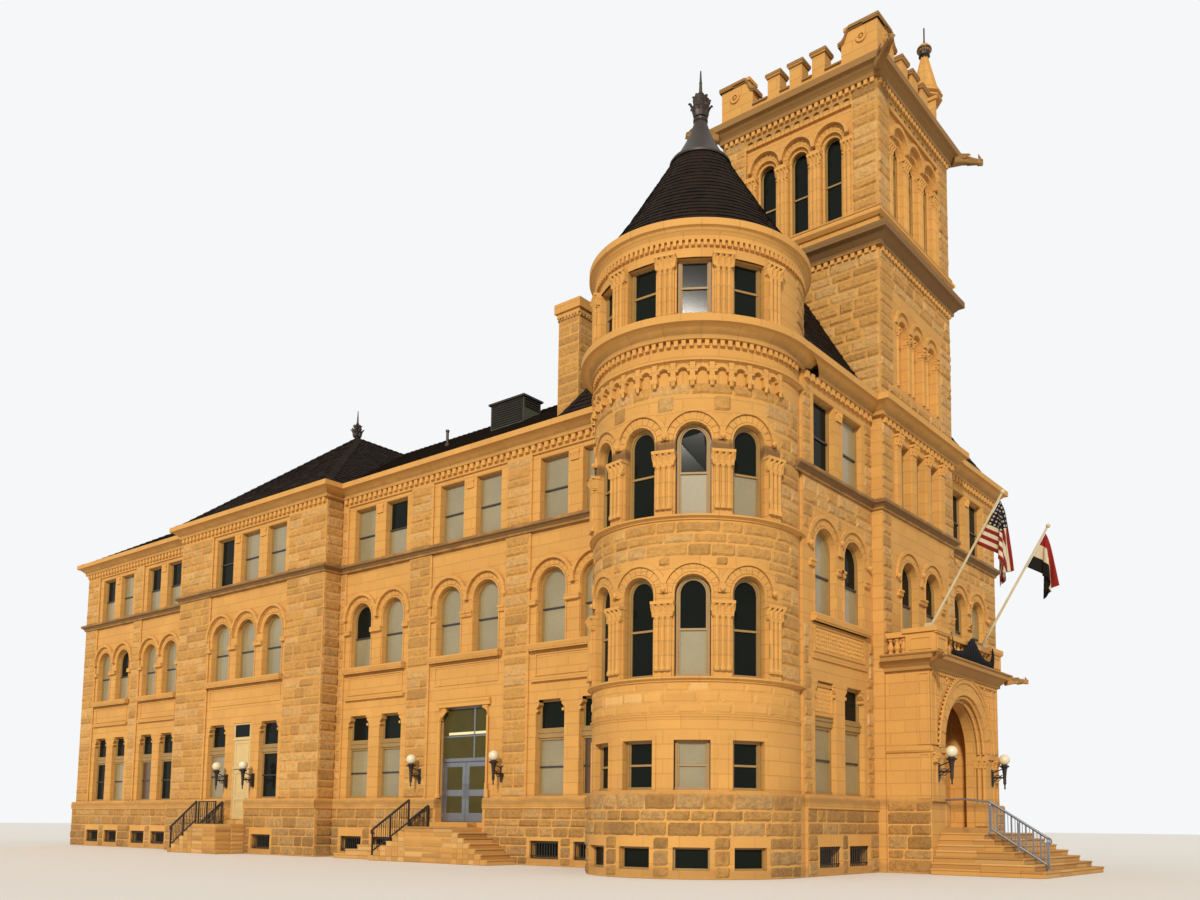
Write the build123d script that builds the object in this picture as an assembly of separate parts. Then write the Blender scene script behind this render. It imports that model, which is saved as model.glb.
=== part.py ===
from build123d import *
import math
import os

# Romanesque stone town hall with a corner turret and a square bell tower, at 1:2.
# The frame stands on the ground at the corner where the planes of the two street fronts cross:
# +X is out of the entrance front, +Y runs along it to the north, -Y is out of the long side front.
# Sizes are those of the real building in metres, times M.

# One real metre in millimetres at the scale of the model, 1:2
M = 500.0

# House: length of the side front, depth of the entrance front, thickness of its walls
house_length = 42.60 * M
house_depth = 15.50 * M
wall = 0.50 * M
east_wall_start = 0.10 * M
east_cornice_start = -0.30 * M
join_gap = 0.001 * M

# Levels above the ground
water_table = 2.20 * M
floor_levels = [1.37 * M, 6.45 * M, 10.75 * M]
floor_thickness = 0.30 * M
first_head = 5.42 * M
belt_level = 6.02 * M
sill_level = 7.05 * M
impost_level = 8.78 * M
string_level = 11.14 * M
string_height = 0.28 * M
third_sill = string_level + string_height
third_head = 13.65 * M
cornice_level = 14.12 * M
cornice_height = 0.53 * M
wall_top = cornice_level + cornice_height

# Projections from the face of the wall
base_projection = 0.12 * M
string_projection = 0.20 * M
cornice_projection = 0.46 * M
sill_projection = 0.14 * M
sill_height = 0.22 * M
sill_margin = 0.18 * M
belt_projection = 0.05 * M
belt_height = 0.12 * M
hood_projection = 0.07 * M
hood_width = 0.12 * M

# Bays are sunk a little behind the plain strips between them
bay_recess = 0.07 * M
bay_half = 1.93 * M
impost_height = 0.16 * M
impost_projection = 0.06 * M
impost_reach = 0.34 * M
shoulder_width = 0.13 * M
shoulder_height = 0.30 * M

# Windows: one width for the long fronts, another for the three of the pavilion
window_width = 1.26 * M
window_pitch = 1.90 * M
basement_sill = 0.22 * M
basement_head = 0.80 * M
second_bottom = sill_level + sill_height
first_bottom = 2.25 * M
bay_pitch = 5.02 * M
end_bay_pitch = 4.60 * M
hood_gap = 0.28 * M

# Pavilion in the middle of the side front
pavilion_centre = -26.12 * M
pavilion_width = 10.90 * M
pavilion_projection = 0.80 * M
pavilion_window_pitch = 1.95 * M
pavilion_window_width = 1.36 * M
pavilion_door_width = 1.30 * M
pavilion_panel_half = 2.90 * M

# Side entrance in the middle bay of the right part of the side front
side_door_centre = -13.40 * M
side_door_opening = 2.40 * M
side_door_recess = 0.20 * M
side_corbel = 0.24 * M
pavilion_door_recess = 0.12 * M
right_bay_centres = [side_door_centre - bay_pitch, side_door_centre, side_door_centre + bay_pitch]
end_bay_centres = [-39.45 * M, -39.45 * M + end_bay_pitch]
over_door_half = 2.10 * M

# Corner turret
turret_radius = 3.00 * M
turret_x = -turret_radius
turret_y = -0.60 * M
turret_wall = 0.45 * M
turret_window_step = 29.0
turret_window_angles = [-87.0 + turret_window_step * i for i in (-2, -1, 0, 1, 2)]
turret_pier_angles = [-87.0 + turret_window_step * i for i in (-2.5, -1.5, -0.5, 0.5, 1.5, 2.5)]
turret_crown_angles = [-87.0 + turret_window_step * (k + 0.5) for k in range(-3, 3)]
turret_window_width = 0.94 * M
turret_first = (2.25 * M, 3.53 * M)
turret_second = (5.17 * M, 7.83 * M)
turret_third = (9.42 * M, 11.90 * M)
turret_top_windows = (14.90 * M, 16.45 * M)
turret_belts = [4.06 * M, 5.03 * M, 9.28 * M]
turret_pier_half = 0.24 * M
turret_pier_projection = 0.09 * M
turret_capital = 0.34 * M
turret_arcade = (13.03 * M, 13.60 * M)
turret_arcade_step = 9.6
turret_arcade_projection = 0.14 * M
turret_eaves = 16.90 * M
turret_eaves_height = 0.50 * M
turret_eaves_projection = 0.26 * M
turret_floors = [1.37 * M, 4.30 * M, 8.60 * M, 14.20 * M]

# Tower
tower_x = (-5.50 * M, 0.35 * M)
tower_y = (4.50 * M, 10.35 * M)
tower_wall = 0.60 * M
tower_band_level = 19.70 * M
tower_band_height = 0.56 * M
tower_band_projection = 0.42 * M
belfry_sill = 21.05 * M
belfry_head = 24.20 * M
belfry_window_width = 0.80 * M
belfry_window_pitch = 1.24 * M
tower_top = 25.40 * M
tower_cornice_height = 0.60 * M
tower_cornice_projection = 0.40 * M
parapet_thickness = 0.45 * M
parapet_base = 0.42 * M
merlon_height = 0.80 * M
merlon_width = 0.48 * M
merlon_pitch = 0.86 * M
tower_floor_thickness = 0.30 * M

tower_plinth_height = 0.16 * M
tower_plinth_projection = 0.10 * M
tower_panel_half = 2.02 * M
tower_panel_head = 24.86 * M
tower_panel_recess = 0.10 * M
corbel_count = 11
corbel_rise = 0.26 * M
belfry_impost = 23.60 * M
shaft_radius = 0.09 * M
blind_arch = (15.50 * M, 17.82 * M)
blind_arch_width = 0.70 * M
blind_arch_recess = 0.22 * M
tower_slit_width = 0.76 * M
tower_slit_pitch = 1.20 * M
parapet_overhang = 0.06 * M
corner_merlon_width = 1.28 * M
corner_merlon_rise = 0.30 * M
coping_height = 0.12 * M
gargoyle_length = 1.15 * M
gargoyle_root = 0.46 * M
pinnacle_radius = 0.37 * M
pinnacle_levels = [27.95 * M, 29.60 * M, 30.05 * M, 30.75 * M]
pinnacle_inset = 0.55 * M
coping_overhang = 0.05 * M

# Roofs
roof_thickness = 0.25 * M
ridge_level = 19.55 * M
roof_overhang = 0.25 * M
ridge_half_width = 0.10 * M
east_roof_x = (-9.00 * M, -2.85 * M)
east_roof_foot = 0.10 * M
east_roof_run = 2.90 * M
east_roof_top_y = (3.00 * M, 11.60 * M)
pavilion_apex = (4.50 * M, 19.30 * M)
turret_cone_top = 22.40 * M

# Chimney
chimney_x = (-10.15 * M, -9.20 * M)
chimney_y = (1.05 * M, 2.35 * M)
chimney_top = 19.50 * M
chimney_cap = 0.50 * M

# Ventilator on the slope of the side front
vent_x = (-17.20 * M, -15.30 * M)
vent_y = (4.60 * M, 5.60 * M)
vent_top = 18.80 * M

# Porch and balcony at the foot of the tower
porch_x = 1.75 * M
porch_y = (4.60 * M, 10.25 * M)
porch_wall = 0.60 * M
porch_top = 6.05 * M
porch_arch_radius = 1.55 * M
porch_spring = 3.75 * M
porch_orders = 2
porch_order_step = 0.11 * M
porch_order_depth = 0.13 * M
porch_hood_radius = 2.28 * M
porch_hood_width = 0.12 * M
balcony_height = 0.45 * M
balcony_projection = 0.40 * M
balcony_beast = 0.80 * M
balustrade_height = 0.75 * M
baluster_radius = 0.10 * M
balusters_in_front = 11
pedestal = 0.95 * M

# Flagpoles, which stand in sockets on the pedestals
pole_foot_x = porch_x - 0.20 * M
pole_axes = [porch_y[0] + 0.55 * M, porch_y[1] - 0.75 * M]
pole_lean = 31.0
pole_length = 4.45 * M
pole_radius = 0.045 * M
flag_thickness = 0.05 * M

# Steps
riser_count = 8
tread = 0.32 * M
narrow_tread = 0.27 * M
side_landing_front = -1.45 * M
broad_step_reach = [4.60 * M, 3.90 * M, 3.20 * M]
broad_step_front = -0.95 * M
railing_height = 0.90 * M
railing_post = 0.025 * M
baluster_rod = 0.009 * M

# Doors
leaf_thickness = 0.06 * M
frame_width = 0.06 * M
door_clearance = 0.016 * M
knuckle_radius = 0.014 * M
knuckle_length = 0.10 * M
pin_radius = 0.006 * M
pin_clearance = 0.0008 * M
hinge_levels = [1.62 * M, 2.40 * M, 3.22 * M]
leaf_head = 3.48 * M
leaf_stile = 0.15 * M
side_leaf_panes = [(1.67 * M, 2.30 * M), (2.48 * M, 3.33 * M)]
pavilion_leaf_panels = [(1.60 * M, 2.20 * M), (2.34 * M, 3.33 * M)]
main_door_width = 2.20 * M

EPS = 0.001 * M
BIG = 60.0 * M

east = Rot(0, 0, 90)
north = Pos(0, house_depth, 0) * Rot(0, 0, 180)
west = Pos(-house_length, 0, 0) * Rot(0, 0, -90)


def box(x0, x1, y0, y1, z0, z1):
    """A box between two corners."""
    return Pos((x0 + x1) / 2, (y0 + y1) / 2, (z0 + z1) / 2) * Box(x1 - x0, y1 - y0, z1 - z0)


def prism(points, height, z):
    """A flat outline drawn in plan, raised from the level z."""
    return extrude(Pos(0, 0, z) * make_face(Polyline(*points, close=True)), height)


def fuse(first, *others):
    """Joins pieces of one mass of masonry."""
    body = first
    for other in others:
        body = body + other
    return body


# Openings, drawn in a wall's own frame: s along it, its outer face at y = 0, the inside at +y
def rectangular(s, width, z0, z1, y0=-2 * M, y1=2 * M):
    """The cutter of a square-headed opening."""
    return box(s - width / 2, s + width / 2, y0, y1, z0, z1)


def arched(s, width, z0, z1, y0=-2 * M, y1=2 * M):
    """The cutter of a round-headed opening whose crown is at z1."""
    spring = z1 - width / 2
    head = Pos(s, (y0 + y1) / 2, spring) * Rot(90, 0, 0) * Cylinder(width / 2, y1 - y0)
    return rectangular(s, width, z0, spring, y0, y1) + head


def shouldered(s, width, z0, z1):
    """The cutter of a square opening with a corbelled shoulder at each side of its head."""
    h = width / 2
    a = h - shoulder_width
    b = z1 - shoulder_height
    outline = [
        (s - h, z0), (s + h, z0), (s + h, b), (s + a, b + shoulder_width), (s + a, z1),
        (s - a, z1), (s - a, b + shoulder_width), (s - h, b),
    ]
    face = make_face(Polyline(*[(x, -2 * M, z) for x, z in outline], close=True))
    return extrude(face, amount=4 * M, dir=(0, 1, 0))


def hood(s, width, crown):
    """The half-round hood mould above an arch."""
    spring = crown - width / 2
    outer = width / 2 + hood_gap + hood_width
    depth = hood_projection + tower_panel_recess + EPS
    ring = Cylinder(outer, depth) - Cylinder(outer - hood_width, 2 * depth)
    ring = Pos(s, depth / 2 - hood_projection, spring) * Rot(90, 0, 0) * ring
    return ring & box(s - 2 * outer, s + 2 * outer, -M, M, spring, spring + 2 * outer)


def ring_mould(s, outer, width, spring, projection):
    """A half-round moulding about the centre of an arch."""
    ring = Cylinder(outer, projection + EPS) - Cylinder(outer - width, 4 * projection)
    ring = Pos(s, (EPS - projection) / 2, spring) * Rot(90, 0, 0) * ring
    return ring & box(s - 2 * outer, s + 2 * outer, -M, M, spring, spring + 2 * outer)


def ledge(s0, s1, z, height, projection):
    """A plain projecting band."""
    return box(s0, s1, -projection, wall / 4, z, z + height)


def course_profile(z, height, projection):
    """Section of a moulded course: fillet, cove and top slab."""
    return [
        (0, z),
        (-projection * 0.30, z),
        (-projection * 0.30, z + height * 0.22),
        (-projection * 0.72, z + height * 0.55),
        (-projection, z + height * 0.62),
        (-projection, z + height),
        (0, z + height),
    ]


def course(s0, s1, z, height, projection, start="square", end="square"):
    """A moulded course with square, outer mitre or inner mitre ends."""
    reach = projection + M
    low = s0 - (projection if start == "outer" else 0)
    high = s1 + (projection if end == "outer" else 0)
    points = [(low, y, h) for y, h in course_profile(z, height, projection)]
    bar = extrude(make_face(Polyline(*points, close=True)), amount=high - low, dir=(1, 0, 0))
    if start == "outer":
        bar = bar - prism([(s0, 0), (s0 - reach, 0), (s0 - reach, -reach)], 2 * height, z - height / 2)
    if start == "inner":
        bar = bar - prism([(s0, 0), (s0, -reach), (s0 + reach, -reach)], 2 * height, z - height / 2)
    if end == "outer":
        bar = bar - prism([(s1, 0), (s1 + reach, 0), (s1 + reach, -reach)], 2 * height, z - height / 2)
    if end == "inner":
        bar = bar - prism([(s1, 0), (s1, -reach), (s1 - reach, -reach)], 2 * height, z - height / 2)
    return bar


def storey_windows(centres, width):
    """Cutters of the basement, first, second and third rows of a wall."""
    cutters = []
    for s in centres:
        cutters.append(rectangular(s, width, basement_sill, basement_head))
        cutters.append(shouldered(s, width, first_bottom, first_head))
        cutters.append(arched(s, width, second_bottom, impost_level + width / 2 + 0.42 * M))
        cutters.append(rectangular(s, width, third_sill, third_head))
    return cutters


def arch_crown(width):
    """The level of the crown of a second-floor window."""
    return impost_level + width / 2 + 0.42 * M


def pair(centre):
    """The two window axes of a bay."""
    return [centre - window_pitch / 2, centre + window_pitch / 2]


def slab_wall(s0, s1, base_s0, base_s1):
    """A wall with its thicker base, in its own frame."""
    upper = box(s0, s1, 0, wall, water_table, wall_top)
    base = box(base_s0, base_s1, -base_projection, wall, 0, water_table)
    return upper + base


def turret_cutter(extra=0.0):
    """The space of the turret, which the walls, floors and roof keep clear of."""
    drum = Pos(turret_x, turret_y, 0) * Cylinder(
        turret_radius + join_gap + extra, BIG, align=(Align.CENTER, Align.CENTER, Align.MIN))
    foot = Pos(turret_x, turret_y, -M) * Cylinder(
        turret_radius + base_projection + join_gap, water_table + M,
        align=(Align.CENTER, Align.CENTER, Align.MIN))
    return drum + foot


def turret_course_cutter():
    """The space of the turret's string and cornice mouldings."""
    return revolved(
        [(0, z) for z in (string_level, wall_top + EPS)]
        + [(turret_radius + cornice_projection + join_gap, wall_top + EPS),
           (turret_radius + cornice_projection + join_gap, cornice_level - EPS),
           (turret_radius + join_gap, cornice_level - EPS),
           (turret_radius + join_gap, string_level)])


def revolved(points):
    """A ring or drum about the turret's axis, from its half section of (radius, level)."""
    section = make_face(Polyline(*[(r, 0, z) for r, z in points], close=True))
    return Pos(turret_x, turret_y, 0) * revolve(section, Axis.Z)


# House walls
def south_wall_end():
    """The far left stretch of the side front, with two bays."""
    left = -house_length
    right = pavilion_centre - pavilion_width / 2
    centres = pair(end_bay_centres[0]) + pair(end_bay_centres[1])
    body = slab_wall(left, right, left - base_projection, right)
    for bay in end_bay_centres:
        body = body - bay_panel(bay)
    for bay in end_bay_centres:
        body = fuse(body, *dress_pair(pair(bay)))
    body = fuse(body, *runs(left, right, "outer", "inner"))
    return body - storey_windows(centres, window_width)


def dress_pair(axes):
    """Sill, belt, imposts and hoods of two windows."""
    low = axes[0] - window_width / 2 - sill_margin
    high = axes[1] + window_width / 2 + sill_margin
    impost = impost_reach - sill_margin
    trims = [
        ledge(low, high, sill_level, sill_height, sill_projection),
        ledge(low, high, belt_level, belt_height, belt_projection),
        ledge(low - impost, high + impost, impost_level - impost_height, impost_height, impost_projection),
    ]
    return trims + [hood(s, window_width, arch_crown(window_width)) for s in axes]


def bay_panel(centre, half=bay_half):
    """The cutters that sink a bay behind the strips beside it."""
    return [
        box(centre - half, centre + half, -M, bay_recess, water_table, string_level),
        box(centre - half, centre + half, -M, bay_recess, third_sill, cornice_level - 0.30 * M),
    ]


def runs(s0, s1, start, end):
    """The string course and the cornice of a stretch of wall."""
    return [
        course(s0, s1, string_level, string_height, string_projection, start, end),
        course(s0, s1, cornice_level, cornice_height, cornice_projection, start, end),
    ]


def pavilion_side(sign):
    """One side of the pavilion's front with its return to the house wall."""
    edge = pavilion_width / 2
    door = pavilion_door_width / 2
    joint = pavilion_window_pitch / 2
    axis = pavilion_window_pitch
    front = slab_wall(door, edge, door, edge + base_projection)
    for z0, z1 in ((water_table, string_level), (third_sill, cornice_level - 0.30 * M)):
        front = front - box(door - M, pavilion_panel_half, -M, bay_recess, z0, z1)
    base_depth = pavilion_projection - base_projection
    base_return = box(edge - wall, edge + base_projection, 0, base_depth, 0, water_table)
    return_wall = box(edge - wall, edge, 0, wall + pavilion_projection, 0, wall_top)
    body = fuse(front, return_wall, base_return, *runs(door, edge, "square", "outer"))
    turn = Pos(edge, 0, 0) * Rot(0, 0, 90)
    body = fuse(body, *[turn * run for run in runs(0, pavilion_projection, "outer", "inner")])
    sill_end = axis + pavilion_window_width / 2 + sill_margin
    body = body + ledge(door, sill_end, sill_level, sill_height, sill_projection)
    impost_end = sill_end + impost_reach - sill_margin
    body = body + ledge(joint, impost_end, impost_level - impost_height, impost_height, impost_projection)
    body = body + (hood(axis, pavilion_window_width, arch_crown(pavilion_window_width))
                   & box(joint, edge, -M, M, 0, wall_top))
    body = body - storey_windows([axis], pavilion_window_width)
    body = body - box(-M, joint, -M, M, first_head, wall_top + M)
    if sign < 0:
        body = mirror(body, Plane.YZ)
    return Pos(pavilion_centre, -pavilion_projection, 0) * body


def pavilion_middle():
    """The wall over the pavilion's door, and the strip under its sill."""
    door = pavilion_door_width / 2
    joint = pavilion_window_pitch / 2
    over = box(-joint, joint, bay_recess, wall, first_head, wall_top)
    over = over + box(-joint, joint, 0, wall, string_level, third_sill)
    over = over + box(-joint, joint, 0, wall, cornice_level - 0.30 * M, wall_top)
    over = fuse(over, *runs(-joint, joint, "square", "square"))
    over = over + ledge(-joint, joint, sill_level, sill_height, sill_projection)
    over = over + ledge(-joint, joint, impost_level - impost_height, impost_height, impost_projection)
    over = over + (hood(0, pavilion_window_width, arch_crown(pavilion_window_width))
                   & box(-joint, joint, -M, M, 0, wall_top))
    over = over - storey_windows([0], pavilion_window_width)[2:]
    under = box(-door, door, -base_projection, wall, 0, floor_levels[0])
    place = Pos(pavilion_centre, -pavilion_projection, 0)
    return Compound(children=[place * over, place * under])


def south_wall_left():
    """The side front from the pavilion to the side entrance."""
    left = pavilion_centre + pavilion_width / 2
    right = side_door_centre - side_door_opening / 2
    body = slab_wall(left, right, left, right) - bay_panel(right_bay_centres[0]) - bay_panel(side_door_centre)
    body = fuse(body, *runs(left, right, "inner", "square"), *dress_pair(pair(right_bay_centres[0])))
    body = body - storey_windows(pair(right_bay_centres[0]), window_width)
    over = box(side_door_centre - over_door_half, right + M, -M, M, first_head, wall_top + M)
    return body + door_corbel(-1) - over


def south_wall_right():
    """The side front from the side entrance to the turret."""
    left = side_door_centre + side_door_opening / 2
    right = turret_x - turret_radius * 0.80
    body = slab_wall(left, right, left, right) - bay_panel(right_bay_centres[2]) - bay_panel(side_door_centre)
    body = fuse(body, *runs(left, right, "square", "square"), *dress_pair(pair(right_bay_centres[2])))
    body = body - storey_windows(pair(right_bay_centres[2]), window_width)
    over = box(left - M, side_door_centre + over_door_half, -M, M, first_head, wall_top + M)
    return body + door_corbel(1) - over - turret_cutter() - turret_course_cutter()


def south_wall_over_door():
    """The bay over the side entrance, and the strip under its sill."""
    low = side_door_centre - over_door_half
    high = side_door_centre + over_door_half
    over = box(low, high, 0, wall, first_head, wall_top) - bay_panel(side_door_centre)
    over = fuse(over, *runs(low, high, "square", "square"), dress_pair(pair(side_door_centre))[0])
    for s in pair(side_door_centre):
        over = over + hood(s, window_width, arch_crown(window_width))
    for s in pair(side_door_centre):
        over = over - storey_windows([s], window_width)[2:]
    half = side_door_opening / 2
    under = box(side_door_centre - half, side_door_centre + half, -base_projection, wall, 0, floor_levels[0])
    return Compound(children=[over, under])


def door_corbel(sign):
    """The curved bracket at one upper corner of the side entrance."""
    a = side_door_opening / 2
    r = side_corbel
    z = first_head
    block = box(a - r, a + EPS, 0, side_door_recess - join_gap, z - 1.5 * r, z + EPS)
    hollow = Pos(a - r, 0, z - 1.5 * r) * Rot(90, 0, 0) * Cylinder(r, M)
    corbel = block - hollow
    if sign < 0:
        corbel = mirror(corbel, Plane.YZ)
    return Pos(side_door_centre, 0, 0) * corbel


def west_wall():
    """The plain end wall, with the bays of the other fronts."""
    s0, s1 = -house_depth, 0
    body = box(s0 + wall, s1 - wall, 0, wall, 0, wall_top)
    base = box(s0 + wall, s1 - wall, -base_projection, wall, 0, water_table)
    body = fuse(body, base, *runs(s0, s1, "outer", "outer"))
    middle = (s0 + s1) / 2
    axes = [middle + bay_pitch * 0.5 * k for k in (-2, -1, 0, 1, 2)]
    return west * (body - storey_windows(axes, window_width))


def north_wall():
    """The back wall, which repeats the storeys and bays of the side front."""
    s0, s1 = 0, house_length
    body = slab_wall(s0, s1, s0 - base_projection, s1 + base_projection)
    body = fuse(body, *runs(s0, s1, "outer", "outer"))
    count = 8
    axes = []
    for k in range(count):
        axes += pair(house_length * (k + 0.5) / count)
    return north * (body - storey_windows(axes, window_width))


def east_wall_south():
    """The entrance front between the turret and the tower."""
    s0, s1 = east_wall_start, tower_y[0]
    body = slab_wall(s0, s1, s0, s1)
    axes = [1.40 * M, 3.20 * M]
    body = fuse(body, *runs(east_cornice_start, s1, "square", "inner"), *dress_pair(axes))
    return east * (body - storey_windows(axes, window_width)) - turret_cutter() - turret_course_cutter()


def east_wall_north():
    """The entrance front between the tower and the far corner."""
    s0, s1 = tower_y[1], house_depth
    body = slab_wall(s0, s1 - wall, s0, s1 - wall)
    axes = [11.70 * M, 13.50 * M]
    body = fuse(body, *runs(s0, s1, "inner", "outer"), *dress_pair(axes))
    return east * (body - storey_windows(axes, window_width))


# Turret
def turret_radial(angle, z0, z1, arch=False):
    """The cutter of a turret window at an angle about the turret's axis."""
    cutter = arched if arch else rectangular
    shape = cutter(0, turret_window_width, z0, z1, -turret_radius - M, -turret_radius + 2 * turret_wall)
    return Pos(turret_x, turret_y, 0) * Rot(0, 0, angle + 90) * shape


def turret_ring(z0, z1, outer=turret_radius):
    """A drum of the turret's wall between two levels."""
    inner = turret_radius - turret_wall
    return revolved([(inner, z0), (outer, z0), (outer, z1), (inner, z1)])


def turret_band(z, height, projection, whole=False):
    """A moulded course round the turret, all the way or as far as the walls of the house."""
    points = [(turret_radius - EPS, z)]
    points += [(turret_radius - y, h) for y, h in course_profile(z, height, projection)[1:-1]]
    points.append((turret_radius - EPS, z + height))
    band = revolved(points)
    return band if whole else band - box(-BIG, join_gap, -join_gap, BIG, 0, BIG)


def turret_hood(angle, crown):
    """The hood mould of a turret window, curved to the drum."""
    ring = Pos(0, -turret_radius, 0) * hood(0, turret_window_width, crown)
    ring = ring + Pos(0, -turret_radius + hood_projection, 0) * hood(0, turret_window_width, crown)
    ring = ring + Pos(0, -turret_radius + 2 * hood_projection, 0) * hood(0, turret_window_width, crown)
    shape = Pos(turret_x, turret_y, 0) * Rot(0, 0, angle + 90) * ring
    reach = crown + M
    return shape & revolved([(turret_radius - EPS, crown - M), (turret_radius + hood_projection, crown - M),
                             (turret_radius + hood_projection, reach), (turret_radius - EPS, reach)])


def turret_piers(z0, z1, angles):
    """The engaged piers between windows, each with its capital."""
    pieces = []
    r = turret_radius
    p = turret_pier_projection
    for angle in angles:
        pier = box(-turret_pier_half, turret_pier_half, -r - p, -r + 0.06 * M, z0, z1)
        c = 0.05 * M
        half = turret_pier_half + c
        capital = box(-half, half, -r - p - c, -r + 0.06 * M, z1 - turret_capital, z1)
        pieces.append(Pos(turret_x, turret_y, 0) * Rot(0, 0, angle + 90) * (pier + capital))
    return pieces


def turret_corbels():
    """The small corbels under the arcade band."""
    z0, z1 = turret_arcade
    r = turret_radius
    pieces = [turret_band(z1 - 0.14 * M, 0.14 * M, turret_arcade_projection)]
    first = turret_window_angles[0] - 2 * turret_arcade_step
    for k in range(17):
        front = -r - turret_arcade_projection * 0.8
        block = box(-0.07 * M, 0.07 * M, front, -r + 0.06 * M, z0, z1 - 0.10 * M)
        pieces.append(Pos(turret_x, turret_y, 0) * Rot(0, 0, first + k * turret_arcade_step + 90) * block)
    return pieces


def window_recess():
    """The room that the first window of the entrance front needs behind it."""
    return box(-wall - 0.03 * M, BIG, 0.70 * M, BIG, 0, wall_top)


def turret_lower_wall():
    """The turret's base and its first row of windows."""
    body = turret_ring(0, turret_belts[1])
    foot = turret_ring(0, water_table, turret_radius + base_projection)
    body = body + (foot - box(-BIG, join_gap, -join_gap, BIG, 0, BIG))
    body = body + turret_band(turret_belts[0], belt_height, belt_projection)
    for angle in turret_window_angles:
        body = body - turret_radial(angle, *turret_first)
        body = body - turret_radial(angle, basement_sill, basement_head)
    return body - window_recess()


def turret_middle_wall():
    """The turret's second row, round-headed."""
    body = turret_ring(turret_belts[1], turret_belts[2])
    body = body + turret_band(turret_belts[1], belt_height, sill_projection)
    body = fuse(body, *turret_piers(turret_belts[1] + belt_height, 7.10 * M, turret_pier_angles))
    for angle in turret_window_angles:
        body = body + turret_hood(angle, turret_second[1])
        body = body - turret_radial(angle, *turret_second, arch=True)
    return body - window_recess()


def turret_upper_wall():
    """The turret's third row, its corbel band and its share of the main cornice."""
    body = turret_ring(turret_belts[2], wall_top)
    body = body + turret_band(turret_belts[2], belt_height, sill_projection)
    body = fuse(body, *turret_piers(turret_belts[2] + belt_height, 11.10 * M, turret_pier_angles))
    body = fuse(body, *turret_corbels())
    for angle in turret_window_angles:
        body = body + turret_hood(angle, turret_third[1])
    body = body + turret_band(cornice_level, cornice_height, cornice_projection)
    for angle in turret_window_angles:
        body = body - turret_radial(angle, *turret_third, arch=True)
    return body - window_recess()


def turret_crown_wall():
    """The round stage above the roof, with its eaves."""
    body = turret_ring(wall_top, turret_eaves + turret_eaves_height)
    body = body + turret_band(turret_eaves, turret_eaves_height, turret_eaves_projection, whole=True)
    body = fuse(body, *turret_piers(wall_top + 0.05 * M, 16.50 * M, turret_crown_angles))
    for angle in turret_window_angles:
        body = body - turret_radial(angle, *turret_top_windows)
    return body


def turret_roof():
    """The slated cone, hollowed to its boards."""
    z0 = turret_eaves + turret_eaves_height
    eave = turret_radius + 0.05 * M
    outer = [(0, z0), (eave, z0), (2.20 * M, 18.68 * M), (0.84 * M, 20.96 * M), (0.84 * M, 21.04 * M),
             (0.76 * M, 21.04 * M), (0.30 * M, 21.90 * M), (0.13 * M, turret_cone_top), (0, turret_cone_top)]
    inner = [(0, z0), (eave - roof_thickness * 1.4, z0), (1.60 * M, 18.90 * M), (0, 20.60 * M)]
    return revolved(outer) - revolved(inner)


def finial(x, y, z, size):
    """A turned finial: neck, ball, leafy knob and spike."""
    points = [
        (0, 0), (0.16 * size, 0), (0.12 * size, 0.16 * size), (0.20 * size, 0.24 * size),
        (0.30 * size, 0.40 * size), (0.20 * size, 0.58 * size), (0.12 * size, 0.66 * size),
        (0.16 * size, 0.80 * size), (0.06 * size, 0.92 * size), (0.02 * size, 1.70 * size), (0, 1.70 * size),
    ]
    section = make_face(Polyline(*[(r, 0, h) for r, h in points], close=True))
    return Pos(x, y, z) * revolve(section, Axis.Z)


def pavilion_finial():
    """The finial on the apex of the pavilion's roof."""
    y, z = pavilion_apex
    return finial(pavilion_centre, y, z + join_gap, 0.8 * M)


# Tower
def tower_panel(half):
    """The cutters of the belfry's sunk panel, with a row of small arches at its head."""
    d = tower_panel_recess
    cutters = [box(-tower_panel_half, tower_panel_half, -M, d, belfry_sill, tower_panel_head)]
    pitch = 2 * tower_panel_half / corbel_count
    for k in range(corbel_count):
        s = -tower_panel_half + pitch * (k + 0.5)
        low = tower_panel_head - pitch / 2
        cutters.append(arched(s, pitch * 0.66, low, tower_panel_head + corbel_rise, -M, d))
    return cutters


def tower_face(half, width):
    """One face of the tower, of half the width given, with the bands of the whole face."""
    body = box(-half, half, 0, tower_wall, 0, tower_top)
    body = body - tower_panel(half)
    axes = [k * belfry_window_pitch for k in (-1, 0, 1)]
    for s in axes:
        body = body + (hood(s, belfry_window_width * 0.7, belfry_head)
                       & box(-half, half, -M, M, 0, tower_top))
    body = body - [arched(s, belfry_window_width, belfry_sill, belfry_head) for s in axes]
    for k in (-1.5, -0.5, 0.5, 1.5):
        s = k * belfry_window_pitch
        shaft = Pos(s, tower_panel_recess, (belfry_sill + belfry_impost) / 2) * Cylinder(
            shaft_radius, belfry_impost - belfry_sill)
        capital = box(s - 0.17 * M, s + 0.17 * M, -0.02 * M, tower_panel_recess + EPS, belfry_impost,
                      belfry_impost + 0.20 * M)
        body = fuse(body, shaft, capital)
    e = width / 2
    body = body + course(-e, e, tower_band_level, tower_band_height, tower_band_projection, "outer", "outer")
    plinth = belfry_sill - tower_plinth_height
    return body + course(-e, e, plinth, tower_plinth_height, tower_plinth_projection, "outer", "outer")


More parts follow.
